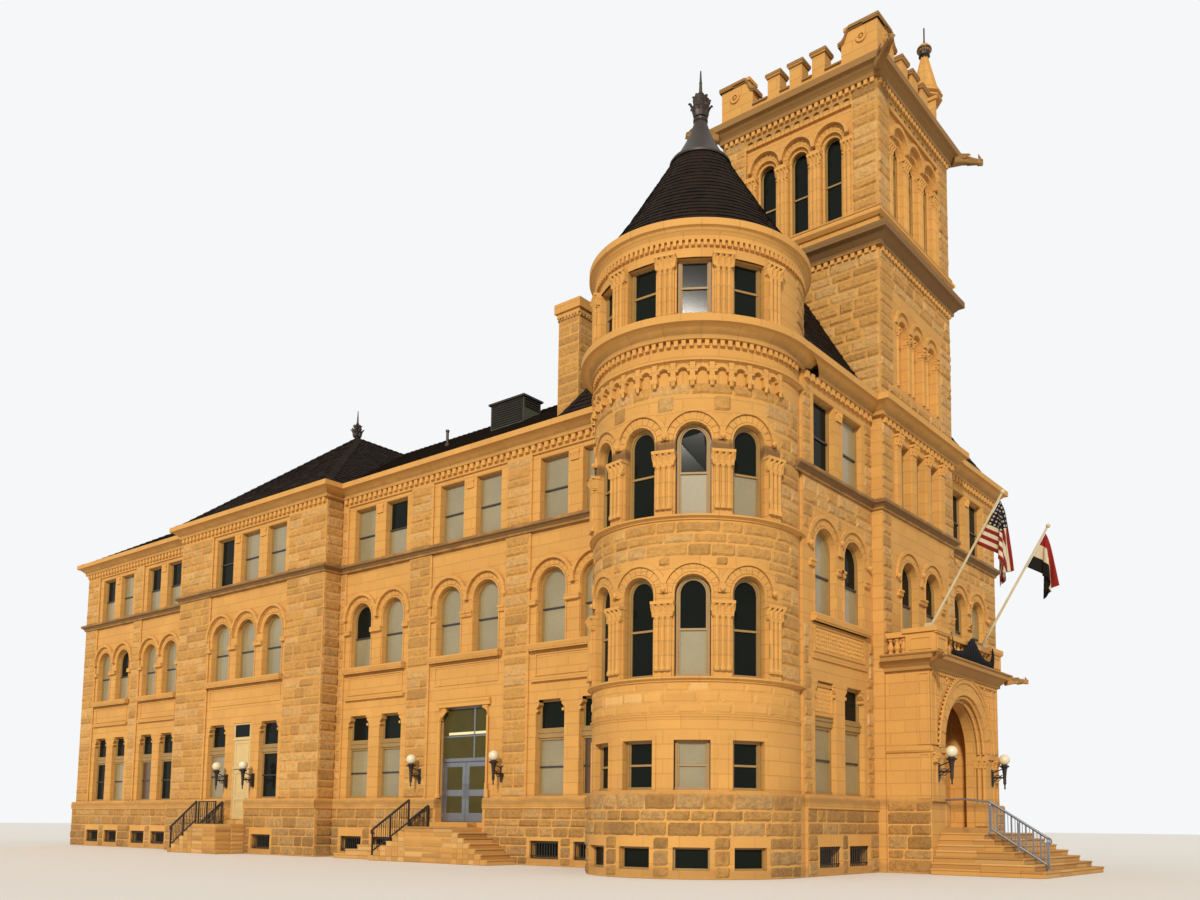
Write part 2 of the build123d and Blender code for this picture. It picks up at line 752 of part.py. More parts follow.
def tower_east():
    """The tower's face on the entrance front, with the way in from the porch."""
    width = tower_y[1] - tower_y[0]
    half = width / 2
    body = tower_face(half, width)
    trims = dress_pair(pair(0))
    body = fuse(body, *runs(-half, half, "outer", "outer"), trims[0], *trims[2:])
    slits = [k * tower_slit_pitch for k in (-1, 0, 1)]
    body = body - [rectangular(s, tower_slit_width, third_sill, third_head) for s in slits]
    body = body - [arched(s, window_width, second_bottom, arch_crown(window_width)) for s in pair(0)]
    for s in slits:
        body = body - arched(s, blind_arch_width, *blind_arch, -M, blind_arch_recess)
        body = body + hood(s, blind_arch_width * 0.6, blind_arch[1])
    body = body - arched(0, main_door_width, floor_levels[0], 5.0 * M)
    centre = (tower_y[0] + tower_y[1]) / 2
    body = Pos(tower_x[1], centre, 0) * Rot(0, 0, 90) * body
    reach = tower_x[1]
    for z, height, projection in ((string_level, string_height, string_projection),
                                  (cornice_level, cornice_height, cornice_projection)):
        body = body + Pos(0, tower_y[0], 0) * course(0, reach, z, height, projection, "inner", "outer")
        back = course(-reach, 0, z, height, projection, "outer", "inner")
        body = body + Pos(0, tower_y[1], 0) * Rot(0, 0, 180) * back
    return body


def tower_side(sign):
    """The tower's north or south face."""
    width = tower_x[1] - tower_x[0]
    body = tower_face(width / 2 - tower_wall, width)
    centre = (tower_x[0] + tower_x[1]) / 2
    if sign < 0:
        return Pos(centre, tower_y[0], 0) * body
    return Pos(centre, tower_y[1], 0) * Rot(0, 0, 180) * body


def tower_west():
    """The tower's face towards the house, with the way through."""
    width = tower_y[1] - tower_y[0]
    body = tower_face(width / 2, width)
    body = body - arched(0, 2.40 * M, floor_levels[0], 4.6 * M)
    centre = (tower_y[0] + tower_y[1]) / 2
    return Pos(tower_x[0], centre, 0) * Rot(0, 0, -90) * body


def tower_cornice():
    """The slab of mouldings under the battlements."""
    p = tower_cornice_projection
    h = tower_cornice_height
    body = box(*tower_x, *tower_y, tower_top, tower_top + h)
    width = tower_x[1] - tower_x[0]
    centre_x = (tower_x[0] + tower_x[1]) / 2
    centre_y = (tower_y[0] + tower_y[1]) / 2
    side = course(-width / 2, width / 2, tower_top, h, p, "outer", "outer")
    for k in range(4):
        body = body + Pos(centre_x, centre_y, 0) * Rot(0, 0, 90 * k) * Pos(0, -width / 2, 0) * side
    root = width / 2 + p - gargoyle_root / 2
    beast = Pos(root * math.sqrt(2), 0, tower_top + h / 2) * gargoyle(gargoyle_length, gargoyle_root)
    for k in range(4):
        body = body + Pos(centre_x, centre_y, 0) * Rot(0, 0, 90 * k + 45) * beast
    return body


def gargoyle(length, root):
    """A beast that leans out along +X, narrow at the neck, with a raised head."""
    sections = []
    steps = ((0, 1.0, 0), (0.35, 0.66, 0.04), (0.76, 0.38, -0.04), (0.90, 0.52, 0.04), (1.0, 0.30, 0.02))
    for reach, size, rise in steps:
        plane = Plane(origin=(reach * length, 0, rise * root), x_dir=(0, 1, 0), z_dir=(1, 0, 0))
        sections.append(plane * RectangleRounded(size * root * 0.8, size * root, size * root * 0.2))
    return loft(sections, ruled=True)


def merlon_outline(half, z0):
    """The battlements of one side as seen from outside, from corner to corner."""
    floor = z0 + parapet_base
    top = floor + merlon_height
    corner = top + corner_merlon_rise
    inner = half - corner_merlon_width
    left = [(-half, z0), (-half, corner), (-inner - 0.16 * M, corner), (-inner - 0.13 * M, corner - 0.32 * M),
            (-inner, corner - 0.55 * M), (-inner, floor)]
    outline = list(left)
    for k in (-1, 0, 1):
        a = k * merlon_pitch - merlon_width / 2
        b = k * merlon_pitch + merlon_width / 2
        outline += [(a, floor), (a, top), (b, top), (b, floor)]
    outline += [(-s, z) for s, z in reversed(left)]
    return outline


def tower_parapet():
    """The battlements, with higher corners and copings."""
    z0 = tower_top + tower_cornice_height
    e = parapet_overhang
    half = (tower_x[1] - tower_x[0]) / 2 + e
    t = parapet_thickness
    face = make_face(Polyline(*[(x, 0, z) for x, z in merlon_outline(half, z0)], close=True))
    side = extrude(face, amount=t, dir=(0, 1, 0))
    top = z0 + parapet_base + merlon_height
    o = coping_overhang
    for k in (-1, 0, 1):
        a = k * merlon_pitch - merlon_width / 2 - o
        side = side + box(a, a + merlon_width + 2 * o, -o, t + o, top - coping_height, top)
    corner = top + corner_merlon_rise
    for sign in (-1, 1):
        a = sign * (half + o)
        b = sign * (half - corner_merlon_width + 0.10 * M)
        side = side + box(min(a, b), max(a, b), -o, t + o, corner - coping_height, corner)
    centre = Pos((tower_x[0] + tower_x[1]) / 2, (tower_y[0] + tower_y[1]) / 2, 0)
    body = None
    for k in range(4):
        turned = centre * Rot(0, 0, 90 * k) * Pos(0, -half, 0) * side
        body = turned if body is None else body + turned
    corner = pinnacle_inset + pinnacle_radius + 0.12 * M
    far = tower_x[1] - corner, BIG, tower_y[1] - corner, BIG
    return body - box(*far, z0 + parapet_base, BIG)


def octagon(radius, z0, z1, top_radius=None):
    """An eight-sided block about the origin, upright or tapered."""
    foot = Pos(0, 0, z0) * RegularPolygon(radius, 8, rotation=22.5)
    if top_radius is None:
        return extrude(foot, z1 - z0)
    return loft([foot, Pos(0, 0, z1) * RegularPolygon(top_radius, 8, rotation=22.5)])


def tower_pinnacle():
    """The eight-sided stair turret at the far corner, with its cone, bulb and rod."""
    z0 = tower_top + tower_cornice_height
    base = z0 + parapet_base
    r = pinnacle_radius
    collar, neck, bulb, tip = pinnacle_levels
    rim = collar + 0.20 * M
    body = octagon(r, base, collar)
    body = body + octagon(r, collar - 0.16 * M, collar, r * 1.5)
    body = body + octagon(r * 1.55, collar, rim)
    body = body + octagon(r * 1.28, rim, neck, 0.10 * M)
    knob = [
        (0, neck), (0.10 * M, neck), (0.10 * M, neck + 0.08 * M), (0.25 * M, neck + 0.22 * M),
        (0.25 * M, bulb - 0.10 * M), (0.17 * M, bulb), (0.02 * M, bulb), (0.02 * M, tip), (0, tip),
    ]
    section = make_face(Polyline(*[(k, 0, h) for k, h in knob], close=True))
    body = body + revolve(section, Axis.Z)
    for k in range(4):
        slit = box(r * 0.7, 2 * r, -0.07 * M, 0.07 * M, collar - 0.95 * M, collar - 0.30 * M)
        body = body - Rot(0, 0, 45 * k - 90) * slit
    inner = parapet_thickness - parapet_overhang + join_gap
    place = Pos(tower_x[1] - pinnacle_inset, tower_y[1] - pinnacle_inset, 0)
    x1 = tower_x[1] - inner
    y1 = tower_y[1] - inner
    block = box(x1 - 0.60 * M, x1, y1 - 0.60 * M, y1, z0, base)
    return place * body + block


def tower_roof():
    """The deck inside the battlements, and the floor under the belfry."""
    t = tower_wall + join_gap
    deck = box(tower_x[0] + t, tower_x[1] - t, tower_y[0] + t, tower_y[1] - t,
               tower_top - tower_floor_thickness, tower_top)
    floor = box(tower_x[0] + t, tower_x[1] - t, tower_y[0] + t, tower_y[1] - t,
                tower_band_level, tower_band_level + tower_floor_thickness)
    return Compound(children=[deck, floor])


# Roofs
def hipped(x, y, top_x, top_y, z0, z1):
    """A hipped block: the space under one profile across and one along."""
    across = [(0, y[0], z0), (0, y[1], z0), (0, top_y[1], z1), (0, top_y[0], z1)]
    along = [(x[0], 0, z0), (x[1], 0, z0), (top_x[1], 0, z1), (top_x[0], 0, z1)]
    side = Pos(x[0] - M, 0, 0) * extrude(
        make_face(Polyline(*across, close=True)), amount=x[1] - x[0] + 2 * M, dir=(1, 0, 0))
    front = Pos(0, y[0] - M, 0) * extrude(
        make_face(Polyline(*along, close=True)), amount=y[1] - y[0] + 2 * M, dir=(0, 1, 0))
    return side & front


def roof_mass(drop):
    """The whole of the house roof as one mass, let down by a drop."""
    z0 = wall_top - drop
    top = ridge_level - drop
    o = roof_overhang
    middle = house_depth / 2
    r = ridge_half_width
    depth = (-o, house_depth + o)
    main_x = (-house_length - o, east_roof_x[0] + M)
    main_top = (main_x[0] + middle + o, main_x[1])
    main = hipped(main_x, depth, main_top, (middle - r, middle + r), z0, top)
    block_x = (east_roof_x[0], east_roof_foot)
    block_top = (east_roof_x[0] + east_roof_run, east_roof_x[1])
    block = hipped(block_x, depth, block_top, east_roof_top_y, z0, top)
    half = pavilion_width / 2 + o
    apex_y, apex_z = pavilion_apex
    wing_y = (-pavilion_projection - o, middle)
    wing_x = (pavilion_centre - half, pavilion_centre + half)
    wing_top = (pavilion_centre - r, pavilion_centre + r)
    wing = hipped(wing_x, wing_y, wing_top, (apex_y, middle), z0, apex_z - drop)
    return fuse(main, block, wing)


def main_roof():
    """The shingled roof of the house, hollow under its boards."""
    body = roof_mass(0) - roof_mass(roof_thickness)
    body = body & box(-BIG, BIG, -BIG, BIG, wall_top, BIG)
    g = join_gap
    body = body - box(tower_x[0] - g, tower_x[1] + M, tower_y[0] - g, tower_y[1] + g, 0, BIG)
    cap = Pos(turret_x, turret_y, turret_eaves - g) * Cylinder(
        turret_radius + turret_eaves_projection + g, BIG, align=(Align.CENTER, Align.CENTER, Align.MIN))
    return body - turret_cutter() - cap


def chimney():
    """The chimney stack with its cap, standing on the slope."""
    shaft = box(*chimney_x, *chimney_y, wall_top, chimney_top)
    body = shaft
    for overhang, low, high in ((0.05 * M, chimney_cap, 0.34 * M), (0.12 * M, 0.34 * M, 0)):
        body = body + box(chimney_x[0] - overhang, chimney_x[1] + overhang, chimney_y[0] - overhang,
                          chimney_y[1] + overhang, chimney_top - low, chimney_top - high)
    return body - roof_mass(0)


def roof_vent():
    """The ventilator box on the roof slope."""
    lid = 0.06 * M
    body = box(*vent_x, *vent_y, ridge_level - 4.0 * M, vent_top - lid)
    x0, x1 = vent_x
    y0, y1 = vent_y
    body = body + box(x0 - lid, x1 + lid, y0 - lid, y1 + lid, vent_top - lid, vent_top)
    return body - roof_mass(0)


# Porch
def porch_walls():
    """The front wall with its round arch, and the two side walls."""
    y0, y1 = porch_y
    x0 = tower_x[1] + join_gap
    front = box(porch_x - porch_wall, porch_x, y0, y1, 0, porch_top)
    left = box(x0, porch_x, y0, y0 + porch_wall, 0, porch_top)
    right = box(x0, porch_x, y1 - porch_wall, y1, 0, porch_top)
    foot = box(x0, porch_x, y0, y1, 0, floor_levels[0])
    body = fuse(front, left, right, foot)
    half = (y1 - y0) / 2
    place = Pos(porch_x, (y0 + y1) / 2, 0) * Rot(0, 0, 90)
    trims = [ring_mould(0, porch_hood_radius, porch_hood_width, porch_spring, hood_projection)]
    trims.append(ledge(-half, half, porch_spring - impost_height, impost_height, impost_projection))
    body = fuse(body, *[place * trim for trim in trims])
    for k in range(porch_orders + 1):
        radius = porch_arch_radius + (porch_orders - k) * porch_order_step
        y_front = porch_order_depth * k - EPS if k > 0 else -M
        y_back = porch_order_depth * (k + 1) if k < porch_orders else porch_wall + EPS
        cutter = arched(0, 2 * radius, floor_levels[0], porch_spring + radius, y_front, y_back)
        body = body - place * cutter
    return body


def balcony():
    """The moulded balcony slab over the porch, with a carved beast at each front corner."""
    y0, y1 = porch_y
    x0 = tower_x[1] + join_gap
    p = balcony_projection
    h = balcony_height
    middle = (y0 + y1) / 2
    half = (y1 - y0) / 2
    body = box(x0, porch_x, y0, y1, porch_top, porch_top + h)
    front = course(-half, half, porch_top, h, p, "outer", "outer")
    body = body + Pos(porch_x, middle, 0) * Rot(0, 0, 90) * front
    body = body + Pos(0, y0, 0) * course(x0, porch_x, porch_top, h, p, "square", "outer")
    body = body + Pos(0, y1, 0) * Rot(0, 0, 180) * course(-porch_x, -x0, porch_top, h, p, "outer", "square")
    beast = gargoyle(balcony_beast, h * 0.7)
    for y, turn in ((y0 - p + h * 0.3, -45), (y1 + p - h * 0.3, 45)):
        body = body + Pos(porch_x + p - h * 0.3, y, porch_top + h * 0.62) * Rot(0, 0, turn) * beast
    return body


def baluster(height):
    """A bulbous baluster on a square foot, with a square cap."""
    r = baluster_radius
    points = [
        (0, 0), (r * 0.75, 0), (r * 0.75, height * 0.10), (r * 0.55, height * 0.16), (r, height * 0.34),
        (r, height * 0.44), (r * 0.50, height * 0.72), (r * 0.50, height * 0.80), (r * 0.80, height * 0.86),
        (r * 0.80, height), (0, height),
    ]
    return revolve(make_face(Polyline(*[(k, 0, z) for k, z in points], close=True)), Axis.Z)


def balustrade():
    """Pedestals with caps, bulbous balusters and the rail round the balcony."""
    y0, y1 = porch_y
    z0 = porch_top + balcony_height
    x0 = tower_x[1] + join_gap
    x1 = porch_x + 0.20 * M
    h = balustrade_height
    rail = 0.30 * M
    e = 0.07 * M
    foot = 0.09 * M
    top = 0.16 * M
    pieces = []
    for y in (y0, y1 - pedestal):
        pieces.append(box(x1 - pedestal, x1, y, y + pedestal, z0, z0 + h - e))
        pieces.append(box(x1 - pedestal - e, x1 + e, y - e, y + pedestal + e, z0 + h - e, z0 + h + e))
    pieces.append(box(x1 - rail, x1, y0 + pedestal, y1 - pedestal, z0 + h - top, z0 + h))
    pieces.append(box(x1 - rail, x1, y0 + pedestal, y1 - pedestal, z0, z0 + foot))
    for y in (y0, y1 - rail):
        pieces.append(box(x0, x1 - pedestal, y, y + rail, z0 + h - top, z0 + h))
        pieces.append(box(x0, x1 - pedestal, y, y + rail, z0, z0 + foot))
    one = baluster(h - top - foot)
    pitch = (y1 - y0 - 2 * pedestal) / balusters_in_front
    for k in range(balusters_in_front):
        pieces.append(Pos(x1 - rail / 2, y0 + pedestal + pitch * (k + 0.5), z0 + foot) * one)
    side = x1 - pedestal - x0
    for y in (y0 + rail / 2, y1 - rail / 2):
        for k in range(3):
            pieces.append(Pos(x0 + side * (k + 0.5) / 3, y, z0 + foot) * one)
    return fuse(*pieces)


def porch_steps():
    """The wide steps, which spread on three sides as they go down."""
    rise = floor_levels[0] / riser_count
    body = None
    for k in range(riser_count - 1):
        out = k * tread
        spread = k * 0.13 * M
        top = floor_levels[0] - rise * (k + 1)
        step = box(porch_x + join_gap, porch_x + 1.3 * M + out, porch_y[0] + 0.6 * M - spread,
                   porch_y[1] - 0.6 * M + spread, top - rise, top)
        body = step if body is None else body + step
    return body


def side_steps():
    """The landing of the side entrance, its two flights and the broad low steps at the left."""
    rise = floor_levels[0] / riser_count
    y1 = -base_projection - join_gap
    half = side_door_opening / 2
    x0 = side_door_centre - half
    x1 = side_door_centre + half
    top = floor_levels[0] - rise
    body = box(x0, x1, side_landing_front, y1, 0, top)
    body = body + box(x0 + 0.25 * M, x1 - 0.25 * M, y1 - 0.45 * M, y1, top, floor_levels[0] - 0.01 * M)
    for k in range(1, riser_count - 1):
        level = top - rise * k
        body = body + box(x0 - k * tread, x0 - (k - 1) * tread, side_landing_front, y1, 0, level)
        right = x1 + k * narrow_tread
        body = body + box(right - narrow_tread, right, side_landing_front, y1, 0, level)
    for k in range(3):
        reach = x0 - broad_step_reach[k]
        body = body + box(reach, x0 - tread, broad_step_front, y1, 0, rise * (k + 1))
    return body


def pavilion_steps():
    """The landing of the pavilion's door and its flight, which runs down to the left."""
    rise = floor_levels[0] / riser_count
    y0 = -pavilion_projection - 1.45 * M
    y1 = -pavilion_projection - base_projection - join_gap
    half = 0.85 * M
    x0 = pavilion_centre - half
    x1 = pavilion_centre + half
    top = floor_levels[0] - rise
    body = box(x0, x1, y0, y1, 0, top)
    for k in range(1, riser_count - 1):
        level = top - rise * k
        body = body + box(x0 - k * tread, x0 - (k - 1) * tread, y0, y1, 0, level)
    return body


def railing(x_top, x_foot, y, z_top, z_foot, bays=2):
    """A sloping railing with posts, a bottom bar and thin upright bars, in a plane of constant y."""
    h = railing_height
    r = railing_post
    length = math.hypot(x_foot - x_top, z_foot - z_top)
    angle = math.degrees(math.atan2(z_foot - z_top, x_foot - x_top))
    middle = ((x_top + x_foot) / 2, (z_top + z_foot) / 2)
    body = None
    for rise in (h, 0.15 * M):
        bar = Pos(middle[0], y, middle[1] + rise) * Rot(0, -angle, 0) * Box(length + 2 * r, 2 * r, 1.6 * r)
        body = bar if body is None else body + bar
    per_bay = 4
    count = bays * per_bay
    for k in range(count + 1):
        t = k / count
        x = x_top + (x_foot - x_top) * t
        z = z_top + (z_foot - z_top) * t
        if k % per_bay == 0:
            body = body + box(x - r, x + r, y - r, y + r, z, z + h)
        else:
            q = baluster_rod
            body = body + box(x - q, x + q, y - q, y + q, z + 0.15 * M, z + h)
    return body


def railings():
    """The iron railings of the three flights, and the guard of the pavilion's landing."""
    rise = floor_levels[0] / riser_count
    top = floor_levels[0] - rise
    steps = riser_count - 2
    run = steps * tread
    pieces = []
    x0 = side_door_centre - side_door_opening / 2
    for y, first, last, bays in ((side_landing_front + 0.07 * M, 0, steps, 2), (-0.25 * M, 1, steps - 2, 1)):
        pieces.append(railing(x0 - first * tread + 0.1 * M, x0 - last * tread + 0.1 * M, y,
                              top - rise * first, top - rise * last, bays))
    p0 = pavilion_centre - 0.85 * M
    front = -pavilion_projection + side_landing_front + 0.07 * M
    for y in (front, -pavilion_projection - 0.25 * M):
        pieces.append(railing(p0 + 0.1 * M, p0 - run + 0.1 * M, y, top, top - rise * steps))
    pieces.append(railing(p0 + 0.3 * M, p0 + 1.55 * M, front, top, top))
    foot = porch_x + 1.3 * M + (riser_count - 2) * tread
    pieces.append(railing(porch_x + 1.4 * M, foot - 0.2 * M, porch_y[0] + 0.9 * M, top, rise))
    return Compound(children=pieces)


# Doors
def leaf_with_hinges(width, y):
    """A leaf whose hinge edge is at s = 0, with its barrels in front of its face."""
    c = door_clearance
    leaf = box(c, width, y, y + leaf_thickness, floor_levels[0] + c, leaf_head - c)
    gap = door_clearance / 4
    for z in hinge_levels:
        half = knuckle_length / 2 - gap
        leaf = leaf + box(0, 3 * c, y - knuckle_radius, y + EPS, z - half, z + half)
    leaf = fuse(leaf, *[Pos(0, y - knuckle_radius, z) * Cylinder(knuckle_radius, knuckle_length - 2 * gap)
                        for z in hinge_levels])
    bores = [Pos(0, y - knuckle_radius, z) * Cylinder(pin_radius + pin_clearance, 2 * knuckle_length)
             for z in hinge_levels]
    return leaf - bores


def sunk_panels(width, y, levels, stile):
    """Cutters that sink panels into both faces of a leaf, which leaves a thin pane between them."""
    pane = leaf_thickness / 3
    cutters = []
    for z0, z1 in levels:
        cutters.append(box(stile, width - stile, y - M, y + pane, z0, z1))
        cutters.append(box(stile, width - stile, y + leaf_thickness - pane, y + M, z0, z1))
    return cutters


def frame_hinges(s, y, side):
    """The pins and end barrels that a frame carries at one side."""
    pieces = []
    axis_y = y - knuckle_radius
    for z in hinge_levels:
        pieces.append(Pos(s, axis_y, z) * Cylinder(pin_radius, 2 * knuckle_length))
        for sign in (-1, 1):
            centre = z + sign * 0.75 * knuckle_length
            pieces.append(Pos(s, axis_y, centre) * Cylinder(knuckle_radius, knuckle_length / 2))
            low = min(s, s + side * frame_width / 2)
            high = max(s, s + side * frame_width / 2)
            quarter = knuckle_length / 4
            pieces.append(box(low, high, axis_y, y + EPS, centre - quarter, centre + quarter))
    return pieces


def side_door_frame():
    """The metal frame and transom light of the side entrance."""
    half = side_door_opening / 2
    y0, y1 = side_door_recess, side_door_recess + 0.10 * M
    t = frame_width
    g = join_gap
    frame = box(-half + g, half - g, y0, y1, floor_levels[0] + g, first_head - g)
    frame = frame - box(-half + t, half - t, -M, M, floor_levels[0] - M, leaf_head)
    frame = frame - box(-half + t, half - t, y0 + 0.06 * M, M, leaf_head + 0.14 * M, first_head - t)
    for sign in (-1, 1):
        frame = fuse(frame, *frame_hinges(sign * (half - t), y0, sign))
    return Pos(side_door_centre, 0, 0) * frame


def side_door_leaf(sign):
    """One glazed leaf of the side entrance."""
    half = side_door_opening / 2 - frame_width
    width = half - door_clearance / 2
    leaf = leaf_with_hinges(width, side_door_recess)
    leaf = leaf - sunk_panels(width, side_door_recess, side_leaf_panes, leaf_stile)
    if sign > 0:
        leaf = mirror(leaf, Plane.YZ)
    return Pos(side_door_centre + sign * half, 0, 0) * leaf


def pavilion_door_frame():
    """The wooden frame, panel and top light over the pavilion's door."""
    half = pavilion_door_width / 2
    y0, y1 = pavilion_door_recess, pavilion_door_recess + 0.10 * M
    t = frame_width
    g = join_gap
    frame = box(-half + g, half - g, y0, y1, floor_levels[0] + g, first_head - g)
    frame = frame - box(-half + t, half - t, -M, M, floor_levels[0] - M, leaf_head)
    frame = fuse(frame, *frame_hinges(-half + t, y0, -1))
    return Pos(pavilion_centre, -pavilion_projection, 0) * frame


def pavilion_door():
    """The panelled leaf of the pavilion."""
    half = pavilion_door_width / 2 - frame_width
    width = 2 * half - door_clearance
    leaf = leaf_with_hinges(width, pavilion_door_recess)
    leaf = leaf - sunk_panels(width, pavilion_door_recess, pavilion_leaf_panels, leaf_stile)
    return Pos(pavilion_centre - half, -pavilion_projection, 0) * leaf


def main_door():
    """The fixed doors at the back of the porch."""
    g = join_gap
    shape = arched(0, main_door_width - 2 * g, floor_levels[0] + g, 5.0 * M - g, 0.30 * M, 0.38 * M)
    return Pos(tower_x[1], (tower_y[0] + tower_y[1]) / 2, 0) * Rot(0, 0, 90) * shape


# Glass: one sheet a storey closes the windows of a wall
def sheet(s0, s1, z0, z1):
    """A sheet of glass against the inner face of a wall, in the wall's frame."""
    return box(s0, s1, wall + join_gap, wall + join_gap + 0.02 * M, z0, z1)


def rows():
    """The levels that the sheets of each storey close."""
    m = 0.10 * M
    return [
        (basement_sill - m, basement_head + m),
        (floor_levels[0] + m, first_head + m),
        (sill_level, arch_crown(window_width) + m),
        (third_sill - m, third_head + m),
    ]


def window_glass():
    """Sheets behind the windows of the house."""
    m = 0.10 * M
    sheets = []
    reach = window_width / 2 + m
    ends = pair(end_bay_centres[0])[0] - reach, pair(end_bay_centres[1])[1] + reach
    for z0, z1 in rows():
        sheets.append(sheet(*ends, z0, z1))
        for k in (0, 2):
            axes = pair(right_bay_centres[k])
            low = axes[0] - window_width / 2 - m
            high = min(axes[1] + window_width / 2 + m, turret_x - turret_radius - 0.05 * M)
            sheets.append(sheet(low, high, z0, z1))
        sheets.append(east * sheet(0.72 * M, 4.0 * M, z0, z1))
        sheets.append(east * sheet(11.0 * M, 14.3 * M, z0, z1))
        sheets.append(north * sheet(1.0 * M, house_length - 1.0 * M, z0, z1))
        sheets.append(west * sheet(-house_depth + 1.0 * M, -1.0 * M, z0, z1))
    for z0, z1 in rows()[2:]:
        axes = pair(side_door_centre)
        sheets.append(sheet(axes[0] - window_width / 2 - m, axes[1] + window_width / 2 + m, z0, z1))
        reach = pavilion_window_pitch + pavilion_window_width / 2 + m
        sheets.append(Pos(pavilion_centre, -pavilion_projection, 0) * sheet(-reach, reach, z0, z1))
    for z0, z1 in rows()[:2]:
        for sign in (-1, 1):
            a = sign * (pavilion_window_pitch - pavilion_window_width / 2 - m)
            b = sign * (pavilion_window_pitch + pavilion_window_width / 2 + m)
            sheets.append(Pos(pavilion_centre, -pavilion_projection, 0) * sheet(min(a, b), max(a, b), z0, z1))
    return Compound(children=sheets)


def turret_glass():
    """Panes in the turret's windows."""
    panes = []
    basement = (basement_sill, basement_head)
    width = turret_window_width - 2 * EPS
    y0 = -turret_radius + turret_wall * 0.6
    for z0, z1 in (basement, turret_first, turret_second, turret_third, turret_top_windows):
        cutter = arched if z0 in (turret_second[0], turret_third[0]) else rectangular
        for angle in turret_window_angles:
            pane = cutter(0, width, z0 + EPS, z1 - EPS, y0, y0 + 0.02 * M)
            panes.append(Pos(turret_x, turret_y, 0) * Rot(0, 0, angle + 90) * pane)
    return Compound(children=panes)


def tower_glass():
    """Sheets behind the belfry's windows and the tower's upper rows."""
    g = join_gap
    t = 0.02 * M
    reach = belfry_window_pitch + belfry_window_width / 2 + 0.1 * M
    sheets = []
    cx = (tower_x[0] + tower_x[1]) / 2
    cy = (tower_y[0] + tower_y[1]) / 2
    low = belfry_sill - 0.1 * M
    pane = box(-reach, reach, tower_wall + g, tower_wall + g + t, low, belfry_head + 0.1 * M)
    sheets.append(Pos(tower_x[1], cy, 0) * Rot(0, 0, 90) * pane)
    sheets.append(Pos(tower_x[0], cy, 0) * Rot(0, 0, -90) * pane)
    sheets.append(Pos(cx, tower_y[0], 0) * pane)
    sheets.append(Pos(cx, tower_y[1], 0) * Rot(0, 0, 180) * pane)
    for z0, z1 in rows()[2:]:
        row = box(-2.2 * M, 2.2 * M, tower_wall + g, tower_wall + g + t, z0, z1)
        sheets.append(Pos(tower_x[1], cy, 0) * Rot(0, 0, 90) * row)
    return Compound(children=sheets)


# Floors
def house_floor(level):
    """A floor of the house with the tower's part of it."""
    g = join_gap
    t = floor_thickness
    body = box(-house_length + wall + g, -wall - g, wall + g, house_depth - wall - g, level - t, level)
    half = pavilion_width / 2 - wall - g
    front = wall - pavilion_projection + g
    body = body + box(pavilion_centre - half, pavilion_centre + half, front, wall + 2 * g, level - t, level)
    body = body - box(tower_x[0] - g, tower_x[1] + M, tower_y[0] - g, tower_y[1] + g, -M, BIG)
    body = body - turret_cutter()
    w = tower_wall + g
    inner = box(tower_x[0] + w, tower_x[1] - w, tower_y[0] + w, tower_y[1] - w, level - t, level)
    pieces = [body, inner]
    return pieces


def turret_floor(level):
    """A round floor in the turret."""
    radius = turret_radius - turret_wall - join_gap
    return Pos(turret_x, turret_y, level - floor_thickness) * Cylinder(
        radius, floor_thickness, align=(Align.CENTER, Align.CENTER, Align.MIN))


def first_floor():
    """The first floor over the basement."""
    return Compound(children=house_floor(floor_levels[0]) + [turret_floor(turret_floors[0])])


def second_floor():
    """The second floor."""
    return Compound(children=house_floor(floor_levels[1]) + [turret_floor(turret_floors[1])])


def third_floor():
    """The third floor, and the turret's two upper floors."""
    return Compound(children=house_floor(floor_levels[2]) + [turret_floor(z) for z in turret_floors[2:]])


# Flags and lamps
def pole_point(y, along, below=0.0):
    """A point on a pole's axis, so far up it."""
    z = porch_top + balcony_height + balustrade_height + 0.12 * M
    lean = math.radians(pole_lean)
    return (pole_foot_x + along * math.sin(lean), y, z + along * math.cos(lean) - below)


def flagpoles():
    """Two tapered poles with balls, which lean out over the balcony's rail from iron sockets."""
    poles = []
    for y in pole_axes:
        foot = porch_top + balcony_height + balustrade_height + 0.07 * M + join_gap
        socket = Pos(pole_foot_x, y, foot) * Box(
            0.24 * M, 0.24 * M, 0.20 * M, align=(Align.CENTER, Align.CENTER, Align.MIN))
        lean = Rot(0, pole_lean, 0) * Cone(
            pole_radius, pole_radius * 0.7, pole_length, align=(Align.CENTER, Align.CENTER, Align.MIN))
        ball = Pos(*pole_point(y, pole_length)) * Sphere(1.6 * pole_radius)
        poles.append(socket + Pos(*pole_point(y, 0)) * lean + ball)
    return Compound(children=poles)


def flag(y, high, low, drop):
    """A flag hanging from its pole between two heights along it, as a thin slab in the pole's plane."""
    gap = pole_radius + join_gap
    reach = math.sin(math.radians(pole_lean))
    top = pole_point(y, high)
    foot = pole_point(y, low)
    shift = gap / math.cos(math.radians(pole_lean))
    outline = [
        (top[0] + shift, top[2]), (foot[0] + shift, foot[2]),
        (foot[0] + shift + 0.12 * M, foot[2] - drop * 0.5), (top[0] + shift + 0.02 * M, foot[2] - drop),
        (top[0] + shift + reach * 0.2 * M, top[2] - 0.3 * M),
    ]
    face = make_face(Polyline(*[(x, y - flag_thickness / 2, z) for x, z in outline], close=True))
    return extrude(face, amount=flag_thickness, dir=(0, 1, 0))


def striped_flag():
    return flag(pole_axes[0], pole_length - 0.25 * M, pole_length - 1.65 * M, 0.95 * M)


def tricolour_flag():
    return flag(pole_axes[1], pole_length - 0.25 * M, pole_length - 1.45 * M, 0.75 * M)


